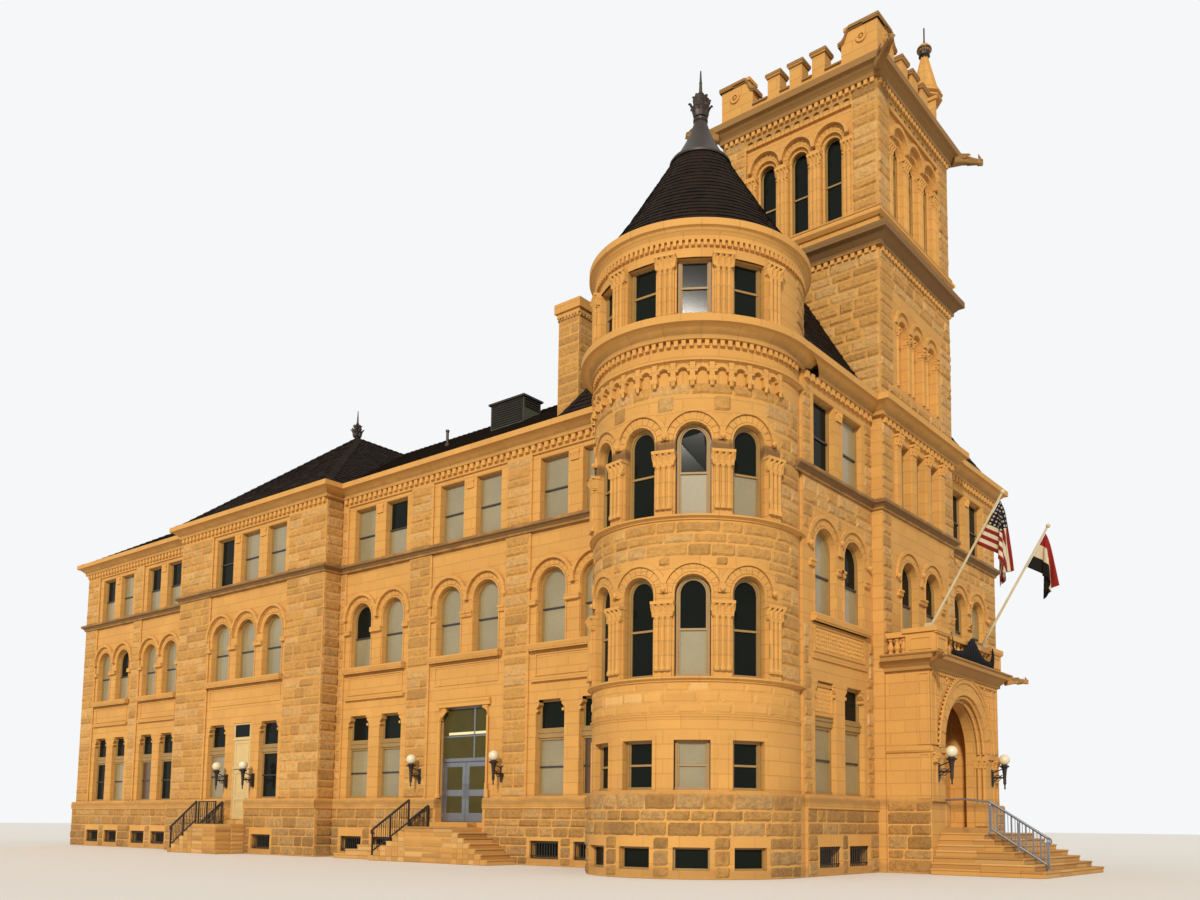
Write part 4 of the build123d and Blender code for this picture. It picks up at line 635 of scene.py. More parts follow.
# fronts, in the frames of their walls
rowLevels = {"basement": (0.22, 0.80), "first": (2.25, 5.42), "second": (7.27, 9.83), "third": (11.42, 13.65)}
windowWidth = 1.26
bayHalf = 1.93
bayDepth = 0.07
southBays = [-39.45, -34.85, -18.45, -13.40, -8.40]
doorBay = -13.40
pavilionPitch = 1.95
pavilionWidth = 1.36
turretAngles = [-145, -116, -87, -58, -29]
turretPiers = [-159.5, -130.5, -101.5, -72.5, -43.5, -14.5]
turretWidth = 0.94
turretRows = {"basement": (0.22, 0.80), "first": (2.25, 3.53), "second": (5.17, 7.83), "third": (9.42, 11.90),
              "top": (14.90, 16.45)}
belfryPitch = 1.24
belfryWidth = 0.80


def pairAxes(centre):
    return [centre - 0.95, centre + 0.95]


def frontWindows():
    # every flat front's windows: place, axis, width, rows, depth of the face, front
    rows = ["basement", "first", "second", "third"]
    found = []
    for centre in southBays:
        kept = ["second", "third"] if centre == doorBay else rows
        found += [(south, s, windowWidth, kept, bayDepth, "south") for s in pairAxes(centre)]
    for k in (-1, 0, 1):
        kept = ["second", "third"] if k == 0 else rows
        found.append((pavilion, k * pavilionPitch, pavilionWidth, kept, bayDepth, "pavilion"))
    for s in (1.40, 3.20, 11.70, 13.50):
        found.append((east, s, windowWidth, rows, 0.0, "east"))
    for k in range(8):
        centre = houseLength * (k + 0.5) / 8
        found += [(north, s, windowWidth, rows, 0.0, "north") for s in pairAxes(centre)]
    for k in (-2, -1, 0, 1, 2):
        found.append((west, -houseDepth / 2 + 2.51 * k, windowWidth, rows, 0.0, "west"))
    return found


flatWindows = frontWindows()


# ashlar: courses of rock-faced blocks, cut round the openings
ashlarLook = {
    "rows": (0.40, 0.30, 0.44, 0.34), "lengths": (0.50, 1.20), "gap": 0.012, "relief": (0.030, 0.062),
    "shortest": 0.28,
}


def freeSpans(s0, s1, z0, z1, holes):
    spans = [(s0, s1)]
    for s, half, low, high, isRound in holes:
        if high <= z0 + 0.02 or low >= z1 - 0.02:
            continue
        reach = half
        if isRound and z0 > high - half:
            reach = sqrt(max(0.0, half * half - (z0 - high + half) ** 2))
        cut = []
        for a, b in spans:
            if s + reach <= a or s - reach >= b:
                cut.append((a, b))
                continue
            if s - reach - a > ashlarLook["shortest"]:
                cut.append((a, s - reach))
            if b - s - reach > ashlarLook["shortest"]:
                cut.append((s + reach, b))
        spans = cut
    return spans


def stonesOf(a, b, lengths, shortest, rng):
    # the ends of each stone of one course, drawn one at a time
    s = a
    while b - s > 0.02:
        length = min(rng.uniform(*lengths), b - s)
        if b - s - length < shortest:
            length = b - s
        yield s, s + length
        s += length


def edgedSteps(count, edge):
    return [0.0, edge] + [k / (count - 2) for k in range(1, count - 2)] + [1 - edge, 1.0]


def addRock(batch, place, s, z, relief, rng, across=4, up=3):
    gap = ashlarLook["gap"]
    a, b = s[0] + gap, s[1] - gap
    low, high = z[0] + gap, z[1] - gap
    edge = min(0.07, (b - a) * 0.2, (high - low) * 0.25)
    us = edgedSteps(across, edge / (b - a))
    vs = edgedSteps(up, edge / (high - low))
    depth = rng.uniform(*relief)
    lean = rng.uniform(-0.35, 0.35)
    points = []
    for j, v in enumerate(vs):
        for i, u in enumerate(us):
            rim = i in (0, len(us) - 1) or j in (0, len(vs) - 1)
            y = 0.004 if rim else -depth * (rng.uniform(0.55, 1.0) + lean * (u - 0.5))
            du = 0 if rim else rng.uniform(-0.012, 0.012)
            points.append((a + (b - a) * u + du, y, low + (high - low) * v))
    addFaces(batch, points, gridFaces(len(vs) - 1, len(us) - 1), place)


def addAshlar(batch, place, s0, s1, z0, z1, holes=(), seed=1, relief=None):
    rng = Random(seed)
    relief = relief or ashlarLook["relief"]
    rows = []
    k = seed
    while sum(rows) < z1 - z0:
        rows.append(ashlarLook["rows"][k % 4])
        k += 1
    scale = (z1 - z0) / sum(rows)
    z = z0
    for row in rows:
        top = z + row * scale
        for a, b in freeSpans(s0, s1, z, top, holes):
            for stone in stonesOf(a, b, ashlarLook["lengths"], 0.35, rng):
                addRock(batch, place, stone, (z, top), relief, rng)
        z = top


def windowHoles(windows, margin=0.0):
    holes = []
    for s, width, rows in windows:
        for row in rows:
            low, high = rowLevels[row]
            isRound = row == "second"
            extra = 0.42 if isRound else margin
            holes.append((s, width / 2 + extra, low - 0.22, high + extra, isRound))
            if isRound:
                holes.append((s, width / 2 + 0.34, 6.02, 8.80, False))
    return holes


def holesOf(front, rows=None, margin=0.18):
    chosen = [(s, w, rows or r) for _, s, w, r, _, name in flatWindows if name == front]
    return windowHoles(chosen, margin)


def baseHoles(front):
    holes = [(s, w / 2 + 0.10, 0.10, 0.90, False) for _, s, w, r, _, name in flatWindows
             if name == front and "basement" in r]
    if front == "south":
        holes.append((doorBay, 1.30, 0.0, 3.0, False))
    return holes


def buildBase():
    batch = newBatch()
    smooth = newBatch()
    out = -0.12
    stretches = [
        (south, -42.72, -31.45, "south", 11), (south, -20.80, -14.62, "south", 12),
        (south, -12.18, -6.05, "south", 13), (pavilion, -5.57, -0.68, "pavilion", 14),
        (pavilion, 0.68, 5.57, "pavilion", 15), (east, 0.12, 4.50, "east", 16),
        (east, 10.35, 15.62, "east", 17), (north, -0.12, 42.72, "north", 18),
        (west, -15.62, 0.12, "west", 19),
    ]
    for place, s0, s1, front, seed in stretches:
        addAshlar(batch, shifted(place, 0, out), s0, s1, 0.02, 1.84, baseHoles(front), seed)
        slab = [(-0.17, 1.84), (-0.17, 2.14), (-0.12, 2.205), (-0.05, 2.205), (-0.05, 1.84)]
        holes = [(doorBay, 1.2, 0, 3, False)] if front == "south" else []
        for a, b in freeSpans(s0, s1, 1.84, 2.2, holes):
            addCourse(smooth, place, a, b, slab)
    for x, turn in ((-20.67, 1), (-31.57, -1)):
        returnPlace = (lambda s, y, z, x=x, turn=turn: (x - turn * y, -s, z))
        addAshlar(batch, shifted(returnPlace, 0, out), 0.13, 0.90, 0.02, 1.84, (), 21 + turn)
        addCourse(smooth, returnPlace, 0.02, 0.80, slab, 0, 1)
        addAshlar(batch, returnPlace, 0.02, 0.80, 2.22, 11.10, (), 31 + turn)
        addAshlar(batch, returnPlace, 0.02, 0.80, 11.44, 14.08, (), 41 + turn)
    for place, a, b, seed in ((porchSouth, 0.36, 1.74, 52), (porchNorth, -1.74, -0.36, 50)):
        addAshlar(batch, place, a, b, 0.02, 2.1, (), seed)
    finishPiece("baseBlocks", batch, baseStone)
    finishPiece("waterTable", smooth, dressedStone)


def buildStrips():
    batch = newBatch()
    strips = [(-42.58, -41.40), (-37.50, -36.80), (-32.90, -31.58), (-20.66, -20.40), (-16.50, -15.35),
              (-11.45, -10.35), (-6.45, -6.02)]
    storeys = [(2.22, 6.95), (7.02, 11.10), (11.44, 13.80)]
    for k, (a, b) in enumerate(strips):
        for low, high in storeys:
            addAshlar(batch, south, a, b, low, high, (), 60 + k)
    for k, (a, b) in enumerate(((-5.43, -2.92), (2.92, 5.43))):
        for low, high in storeys:
            addAshlar(batch, pavilion, a, b, low, high, (), 70 + k)
    eastHoles = holesOf("east")
    for k, (a, b) in enumerate(((0.12, 4.48), (10.37, 15.46))):
        for low, high in storeys:
            addAshlar(batch, east, a, b, low, high, eastHoles, 80 + k)
    finishPiece("frontBlocks", batch, rockStone)
    rear = newBatch()
    for place, span, front in ((north, (0.04, 42.56), "north"), (west, (-15.46, -0.04), "west")):
        for low, high in storeys:
            addAshlar(rear, place, *span, low, high, holesOf(front), 90)
    finishPiece("rearBlocks", rear, rockStone)


def buildTowerBlocks():
    batch = newBatch()
    half = (towerY[1] - towerY[0]) / 2
    group = [(0, 2.30, 6.95, 11.1, False), (0, 2.10, 11.42, 13.9, False), (0, 1.95, 15.35, 18.35, False)]
    for k, place in enumerate(towerFaces):
        holes = group if place is towerEast else []
        low = 6.60 if place is towerEast else 14.70
        runs = [(low, 11.08), (11.46, 13.95), (14.70, 19.60)] if place is towerEast else [(low, 19.60)]
        for z0, z1 in runs:
            addAshlar(batch, place, -half + 0.01, half - 0.01, z0, z1, holes, 100 + k)
        for a, b in ((-half + 0.01, -2.04), (2.04, half - 0.01)):
            addAshlar(batch, place, a, b, 21.10, 25.36, (), 110 + k)
    finishPiece("towerBlocks", batch, rockStone)


def buildTurretBlocks():
    batch, foot = newBatches(2)
    whole = turretPlace(0)
    r = turretRadius

    def spanOf(a, b):
        return radians(a) * r, radians(b) * r

    lightFoot, lightHead = turretRows["basement"]
    lights = [(radians(a) * r, turretWidth / 2 + 0.08, lightFoot - 0.12, lightHead + 0.08, False)
              for a in turretAngles]
    low, high = spanOf(-187, 7)
    addAshlar(foot, shifted(whole, 0, -0.12), low, high, 0.02, 2.16, lights, 121)
    finishPiece("turretBaseBlocks", foot, baseStone)
    low, high = spanOf(-190, 10)
    belt = newBatch()
    addAshlar(belt, whole, low, high, 4.20, 5.01, (), 123, (0.016, 0.034))
    finishPiece("turretBeltBlocks", belt, beltStone)
    for hoodFoot, head, z0, z1, seed in ((5.0, 7.83, 7.75, 9.24, 124), (9.4, 11.90, 11.9, 12.98, 125)):
        hoods = [(radians(a) * r, turretWidth / 2 + 0.44, hoodFoot, head + 0.46, True) for a in turretAngles]
        addAshlar(batch, whole, low, high, z0, z1, hoods, seed)
    for a, b in ((-9, 10), (-190, -165)):
        for z0, z1 in ((5.20, 7.70), (9.45, 11.85)):
            addAshlar(batch, whole, *spanOf(a, b), z0, z1, (), 126)
    addAshlar(batch, whole, *spanOf(9, 165), 14.72, 16.80, (), 127)
    finishPiece("turretBlocks", batch, rockStone)


buildBase()
buildStrips()
buildTowerBlocks()
buildTurretBlocks()


# windows: frames, sashes, glass and blinds
joinery = {"stile": 0.075, "front": 0.17, "depth": 0.09, "rail": 0.055, "transom": (4.16, 4.40)}
frames, darkRails, panes, blinds, darkBlinds = newBatches(5)
drawnBlinds = {"none": (panes, panes), "low": (blinds, panes), "both": (blinds, blinds),
               "brown": (darkBlinds, darkBlinds)}


def addPane(batch, place, s, half, z0, z1, y, isRound=False, thick=0.012):
    if not isRound:
        addBox(batch, place, (s - half, s + half), (y, y + thick), (z0, z1))
        return
    spring = z1 - half
    outline = [(s - half, z0), (s + half, z0)]
    outline += [(s + half * cos(pi * k / 12), spring + half * sin(pi * k / 12)) for k in range(13)]
    n = len(outline)
    points = [(a, d, z) for d in (y, y + thick) for a, z in outline]
    faces = [tuple(range(n)), tuple(n + k for k in range(n))[::-1]]
    faces += [(k, n + k, n + (k + 1) % n, (k + 1) % n) for k in range(n)]
    addFaces(batch, points, faces, place)


def addFrame(place, s, half, z0, z1, y, isRound=False):
    t = joinery["stile"]
    d = (y, y + joinery["depth"])
    top = z1 - half if isRound else z1
    addBox(frames, place, (s - half, s - half + t), d, (z0, top))
    addBox(frames, place, (s + half - t, s + half), d, (z0, top))
    addBox(frames, place, (s - half, s + half), (y - 0.03, y + joinery["depth"]), (z0, z0 + t))
    if isRound:
        addRing(frames, place, s, top, (half - t, half), d)
        addRing(frames, place, s, top, (half - 1.5 * t, half - t), (y + 0.03, d[1]))
    else:
        addBox(frames, place, (s - half + t, s + half - t), d, (z1 - t, z1))
    for side in (-1, 1):
        edge = sorted((s + side * (half - t), s + side * (half - 1.5 * t)))
        addBox(frames, place, edge, (y + 0.03, d[1]), (z0 + t, top - (0 if isRound else t)))


def addSashes(place, s, half, z0, z1, y, isRound, blind, dark=True):
    t = joinery["stile"]
    addFrame(place, s, half, z0, z1, y, isRound)
    middle = z0 + (z1 - z0) * (0.5 if not isRound else 0.47)
    rail = joinery["rail"] / 2
    rails = darkRails if dark else frames
    addBox(rails, place, (s - half + t, s + half - t), (y + 0.01, y + 0.075), (middle - rail, middle + rail))
    low, high = drawnBlinds[blind]
    addPane(low, place, s, half - t, z0 + t, middle, y + 0.055)
    addPane(high, place, s, half - t, middle, z1 - t, y + 0.055, isRound)


def addBasementWindow(place, s, half, z0, z1, y):
    t = 0.05
    for a, b in ((s - half, s - half + t), (s + half - t, s + half)):
        addBox(frames, place, (a, b), (y, y + 0.07), (z0, z1))
    for a, b in ((z0, z0 + t), (z1 - t, z1)):
        addBox(frames, place, (s - half + t, s + half - t), (y, y + 0.07), (a, b))
    addPane(panes, place, s, half - t, z0 + t, z1 - t, y + 0.04)


def blindOf(front, s, row):
    pick = Random(f"{front}{row}{round(s, 1)}").random()
    if front in ("north", "west"):
        return "none" if pick < 0.6 else "low"
    if row == "second":
        return "both" if pick < 0.75 else "low"
    if row == "third":
        return "both" if pick < 0.7 else ("low" if pick < 0.85 else "none")
    return "both" if pick < 0.55 else ("brown" if pick < 0.75 else "none")


def buildFlatWindows():
    for place, s, width, rows, face, front in flatWindows:
        half = width / 2
        y = face + joinery["front"]
        if "basement" in rows:
            addBasementWindow(place, s, half, *rowLevels["basement"], 0.12)
        if "first" in rows:
            low, high = rowLevels["first"]
            bar = joinery["transom"]
            addSashes(place, s, half, low, bar[0], y, False, blindOf(front, s, "first"))
            addBox(frames, place, (s - half, s + half), (y - 0.05, y + 0.1), bar)
            addBox(frames, place, (s - half, s + half), (y - 0.08, y), (bar[1] - 0.08, bar[1] - 0.02))
            addFrame(place, s, half, bar[1], high, y)
            t = joinery["stile"]
            addPane(panes, place, s, half - t, bar[1] + t, high - t, y + 0.055)
        addSashes(place, s, half, *rowLevels["second"], y, True, blindOf(front, s, "second"))
        addSashes(place, s, half, *rowLevels["third"], y, False, blindOf(front, s, "third"))


def buildTurretWindows():
    half = turretWidth / 2
    drawn = {(-58, "first"): "both", (-58, "second"): "low", (-58, "third"): "low", (-29, "third"): "low"}
    for angle in turretAngles:
        place = turretPlace(angle)
        addBasementWindow(place, 0, half, *turretRows["basement"], 0.02)
        for row in ("first", "second", "third", "top"):
            blind = drawn.get((angle, row), "none")
            addSashes(place, 0, half, *turretRows[row], 0.16, row in ("second", "third"), blind, dark=False)


def buildTowerWindows():
    for place in towerFaces:
        for k in (-1, 0, 1):
            addSashes(place, k * belfryPitch, belfryWidth / 2, 21.05, 24.20, 0.33, True, "none", dark=False)
    for k in (-1, 0, 1):
        addSashes(towerEast, k * 1.20, 0.38, *rowLevels["third"], 0.22, False, "none", dark=False)
    for s in pairAxes(0):
        addSashes(towerEast, s, windowWidth / 2, *rowLevels["second"], 0.2, True, "low")


buildFlatWindows()
buildTurretWindows()
buildTowerWindows()
glassPieces = [
    finishPiece("windowFrames", frames, sashPaint),
    finishPiece("meetingRails", darkRails, darkSash),
    finishPiece("windowPanes", panes, paintedRoomShadeGlass),
    finishPiece("paleBlinds", blinds, blindCloth),
    finishPiece("brownBlinds", darkBlinds, brownBlindCloth),
]


# dressings of the openings
def addVoussoirs(batch, place, s, spring, radii, y, count, gap=1.6):
    step = 180 / count
    for k in range(count):
        addRing(batch, place, s, spring, radii, y, step * k + gap / 2, step * (k + 1) - gap / 2, 2)


def addLeaf(batch, place, s, y, z0, z1, half, out):
    h = z1 - z0
    # share of the height, half width, how far out, thickness
    sections = [(0.0, half * 0.8, 0.0, 0.03), (0.45, half, out * 0.25, 0.04),
                (0.85, half * 0.9, out * 0.75, 0.05), (1.0, half * 0.45, out * 1.15, 0.03),
                (0.86, half * 0.2, out * 1.35, 0.02)]
    points = []
    for t, w, o, thick in sections:
        z = z0 + h * t
        points += [(s - w, y - o, z), (s, y - o - thick, z), (s + w, y - o, z), (s, y - o + 0.03, z)]
    tip = 4 * (len(sections) - 1)
    faces = [(0, 1, 2, 3), *joinRings(4, len(sections) - 1, False), (tip + 3, tip + 2, tip + 1, tip)]
    addFaces(batch, points, faces, place)


def addCapital(batch, place, s, y, z0, z1, half, leaves=3):
    h = z1 - z0
    addBoxes(batch, place, ((s - half * 0.82, s + half * 0.82), (y, y + 0.16), (z0 + h * 0.08, z1 - h * 0.2)),
             ((s - half, s + half), (y - 0.10, y + 0.16), (z1 - h * 0.2, z1)),
             ((s - half * 0.9, s + half * 0.9), (y - 0.04, y + 0.16), (z0, z0 + h * 0.08)))
    pitch = 2 * half * 0.82 / leaves
    for k in range(leaves):
        at = s - half * 0.82 + pitch * (k + 0.5)
        addLeaf(batch, place, at, y, z0 + h * 0.08, z0 + h * 0.62, pitch * 0.5, 0.06)
    for k in range(leaves + 1):
        at = s - half * 0.82 + pitch * k
        addLeaf(batch, place, at, y, z0 + h * 0.30, z1 - h * 0.2, pitch * 0.42, 0.085)


def addShafts(batch, place, s, y, z0, z1, radius, spread, count=3):
    for k in range(count):
        at = s + (k - (count - 1) / 2) * spread
        base = place(at, y, z0)
        profile = [(radius * 1.5, 0), (radius * 1.5, 0.08), (radius * 1.15, 0.12), (radius, 0.17),
                   (radius, z1 - z0 - 0.06), (radius * 1.25, z1 - z0 - 0.04), (radius * 1.25, z1 - z0)]
        addLathe(batch, base, profile, 8)


def addArchDress(batch, place, s, half, spring, sill, y):
    # roll mould round an arched window, its voussoirs and the inner roll of its hood
    addRing(batch, place, s, spring, (half + 0.01, half + 0.06), (y - 0.035, y + 0.02))
    for side in (-1, 1):
        edge = sorted((s + side * (half + 0.01), s + side * (half + 0.06)))
        addBox(batch, place, edge, (y - 0.035, y + 0.02), (sill, spring))
    addVoussoirs(batch, place, s, spring, (half + 0.075, half + 0.265), (y - 0.018, y + 0.02), 11)
    addRing(batch, place, s, spring, (half + 0.285, half + 0.33), (y - 0.05, y + 0.02))


def addBoss(batch, place, s, y, z, size):
    profile = [(size * r, size * h) for r, h in ((0.2, -1), (0.7, -0.6), (1, 0), (0.75, 0.6), (0.3, 1))]
    addLathe(batch, place(s, y, z), profile, 8)


def addPanelFrame(batch, place, s0, s1, z0, z1, y, width=0.06, out=0.03):
    depth = (y - out, y + 0.02)
    for z in ((z0, z0 + width), (z1 - width, z1)):
        addBox(batch, place, (s0, s1), depth, z)
    for s in ((s0, s0 + width), (s1 - width, s1)):
        addBox(batch, place, s, depth, (z0 + width, z1 - width))


def addDiaper(batch, place, s0, s1, z0, z1, y, pitch=0.13, rise=0.045):
    rng = Random(8)
    columns = max(1, round((s1 - s0) / pitch))
    rows = max(1, round((z1 - z0) / pitch))
    a, b = (s1 - s0) / columns, (z1 - z0) / rows
    for i in range(columns):
        for j in range(rows):
            s, z = s0 + a * (i + 0.5), z0 + b * (j + 0.5)
            peakS = s + a * rng.uniform(-0.25, 0.25)
            peakY = y - rise * rng.uniform(0.5, 1.3)
            peak = (peakS, peakY, z + b * rng.uniform(-0.3, 0.3))
            foot = [(s - a * 0.46, y, z), (s, y, z - b * 0.46), (s + a * 0.46, y, z), (s, y, z + b * 0.46)]
            addFaces(batch, [*foot, peak], [(0, 1, 4), (1, 2, 4), (2, 3, 4), (3, 0, 4)], place)


def addPairDress(batch, carved, place, axes, width, y, panel):
    half = width / 2
    spring = rowLevels["second"][1] - half
    low, high = axes[0] - half, axes[-1] + half
    for s in axes:
        addArchDress(batch, place, s, half, spring, 7.29, y)
        addCourse(carved, place, s - half - 0.33, s - half - 0.02, imposts(y))
        addCourse(carved, place, s + half + 0.02, s + half + 0.33, imposts(y))
    for k in range(len(axes) + 1):
        s = low - 0.34 if k == 0 else (high + 0.34 if k == len(axes) else (axes[k - 1] + axes[k]) / 2)
        z = spring + (0.02 if k in (0, len(axes)) else 0.40)
        addBoss(carved, place, s, y - 0.09, z, 0.085)
    slab = [(0.02, 7.05), (-0.10 + y, 7.05), (-0.17 + y * 0.2, 7.10), (-0.19, 7.20), (-0.15, 7.285),
            (0.02, 7.285)]
    addCourse(batch, place, low - 0.22, high + 0.22, slab)
    addPanelFrame(batch, place, low - 0.05, high + 0.05, 6.22, 6.98, y)
    if panel:
        addDiaper(carved, place, low + 0.05, high - 0.05, 6.30, 6.90, y)


def imposts(y):
    profile = ((0.02, 8.60), (-0.07, 8.60), (-0.10, 8.66), (-0.07, 8.70), (-0.12, 8.74), (-0.12, 8.80),
               (0.02, 8.80))
    return [(y + d, z) for d, z in profile]


def addShoulders(batch, place, s, half, y):
    for side in (-1, 1):
        a = s + side * (half - 0.05)
        addRod(batch, place(a, y - 0.005, 5.06), place(a, y + 0.2, 5.06), 0.055, 10)
        edge = sorted((s + side * (half - 0.15), s + side * half))
        addBox(batch, place, edge, (y - 0.01, y + 0.17), (5.34, 5.42))


def addPierCapital(batch, place, s, y, low, high):
    addBox(batch, place, (s - 0.20, s + 0.20), (y - 0.05, y + 0.02), (high - 0.10, high))
    addBox(batch, place, (s - 0.17, s + 0.17), (y - 0.035, y + 0.02), (high - 0.34, high - 0.10))
    for k in (-1, 0, 1):
        addLeaf(batch, place, s + 0.11 * k, y - 0.02, high - 0.34, high - 0.10, 0.055, 0.04)
    addBox(batch, place, (s - 0.19, s + 0.19), (y - 0.03, y + 0.02), (low, low + 0.14))


def buildFrontDressings():
    dressed, carved = newBatches(2)
    for centre in southBays:
        axes = pairAxes(centre)
        addPairDress(dressed, carved, south, axes, windowWidth, bayDepth, False)
        for side in (-1, 1):
            s = centre + side * bayHalf
            for low, high in ((2.22, 11.12), (11.44, 13.80)):
                addRod(dressed, south(s, 0.03, low), south(s, 0.03, high), 0.035, 6)
        if centre != doorBay:
            for s in axes:
                addShoulders(dressed, south, s, windowWidth / 2, bayDepth)
        addPierCapital(carved, south, centre, bayDepth, 11.44, 13.62)
    axes = [k * pavilionPitch for k in (-1, 0, 1)]
    addPairDress(dressed, carved, pavilion, axes, pavilionWidth, bayDepth, False)
    for s in (axes[0], axes[2]):
        addShoulders(dressed, pavilion, s, pavilionWidth / 2, bayDepth)
    for side in (-1, 1):
        addPierCapital(carved, pavilion, side * pavilionPitch / 2, bayDepth, 11.44, 13.62)
        for low, high in ((2.22, 11.12), (11.44, 13.80)):
            a, b = pavilion(side * 2.9, 0.03, low), pavilion(side * 2.9, 0.03, high)
            addRod(dressed, a, b, 0.035, 6)
    for axes in ([1.40, 3.20], [11.70, 13.50]):
        addPairDress(dressed, carved, east, axes, windowWidth, 0.0, True)
        for s in axes:
            addShoulders(dressed, east, s, windowWidth / 2, 0.0)
        addPierCapital(carved, east, sum(axes) / 2, 0.0, 11.44, 13.62)
    addPanelFrame(dressed, east, 0.82, 1.98, 4.45, 5.36, 0.10, 0.08)
    addPane(dressed, east, 1.40, 0.60, 4.42, 5.40, 0.12, False, 0.04)
    addDiaper(carved, east, 0.92, 1.88, 4.55, 5.26, 0.12, 0.12, 0.03)
    finishPiece("windowDressings", dressed, dressedStone)
    finishPiece("carvedDressings", carved, carvedStone)
    rear = newBatch()
    for k in range(8):
        addPairDress(rear, rear, north, pairAxes(houseLength * (k + 0.5) / 8), windowWidth, 0.0, False)
    for k in (-2, -1, 0, 1, 2):
        s = -houseDepth / 2 + 2.51 * k
        addPairDress(rear, rear, west, [s], windowWidth, 0.0, False)
        addShoulders(rear, west, s, windowWidth / 2, 0.0)
    finishPiece("rearDressings", rear, dressedStone)


def addDentils(batch, place, s0, s1, z0, z1, out, pitch=0.30, share=0.55):
    count = max(1, int((s1 - s0) / pitch))
    step = (s1 - s0) / count
    for k in range(count):
        a = s0 + step * (k + (1 - share) / 2)
        addBox(batch, place, (a, a + step * share), (-out, 0.01), (z0, z1))


def buildDentils():
    batch = newBatch()
    runsOf = [(south, -42.6, -31.6), (south, -20.6, -6.1), (pavilion, -5.45, 5.45),
              (east, 0.15, 4.45), (east, 10.4, 15.5), (north, 0, 42.6), (west, -15.5, 0),
              (towerEast, -2.9, 2.9)]
    for place, a, b in runsOf:
        addDentils(batch, place, a, b, 13.93, 14.13, 0.11)
    for place in towerFaces:
        addDentils(batch, place, -2.9, 2.9, 19.54, 19.71, 0.10, 0.24)
        addDentils(batch, place, -2.9, 2.9, 25.24, 25.41, 0.10, 0.22)
    around = turretPlace(0)
    addDentils(batch, around, radians(-188) * 3, radians(8) * 3, 13.95, 14.13, 0.10, 0.2)
    addDentils(batch, around, radians(-180) * 3, radians(179) * 3, 16.74, 16.91, 0.09, 0.16)
    finishPiece("corniceDentils", batch, carvedStone)


def buildTurretDressings():
    dressed, carved = newBatches(2)
    half = turretWidth / 2
    for angle in turretAngles:
        place = turretPlace(angle)
        for row in ("second", "third"):
            low, high = turretRows[row]
            spring = high - half
            addArchDress(dressed, place, 0, half, spring, low, 0.0)
            for side in (-1, 1):
                addBoss(carved, place, side * 0.755, -0.09, spring + 0.08, 0.075)
        for low, high in (turretRows["first"], turretRows["top"]):
            addPanelFrame(dressed, place, -half - 0.10, half + 0.10, low - 0.10, high + 0.10, 0.0, 0.10, 0.03)
    for angle in turretPiers:
        place = turretPlace(angle)
        for low, high in ((5.30, 6.72), (9.55, 10.72)):
            addShafts(dressed, place, 0, -0.11, low, high, 0.058, 0.15)
            addCapital(carved, place, 0, -0.12, high, high + 0.40, 0.30)
        place = turretPlace(angle)
        addShafts(dressed, place, 0, -0.12, 14.75, 16.12, 0.055, 0.14)
        addCapital(carved, place, 0, -0.12, 16.12, 16.52, 0.28)
    for k in range(16):
        place = turretPlace(-145 + 9.6 * (k - 1.5))
        addRing(dressed, place, 0, 13.24, (0.12, 0.20), (-0.12, 0.01), 0, 180, 8)
        addRing(dressed, place, 0, 13.24, (0.20, 0.25), (-0.07, 0.01), 0, 180, 8)
    for k in range(17):
        place = turretPlace(-145 + 9.6 * (k - 2))
        addBox(carved, place, (-0.09, 0.09), (-0.15, 0.02), (12.98, 13.10))
        addLeaf(carved, place, 0, -0.11, 12.86, 13.02, 0.06, 0.03)
    finishPiece("turretDressings", dressed, turretStone)
    finishPiece("turretCarving", carved, carvedStone)


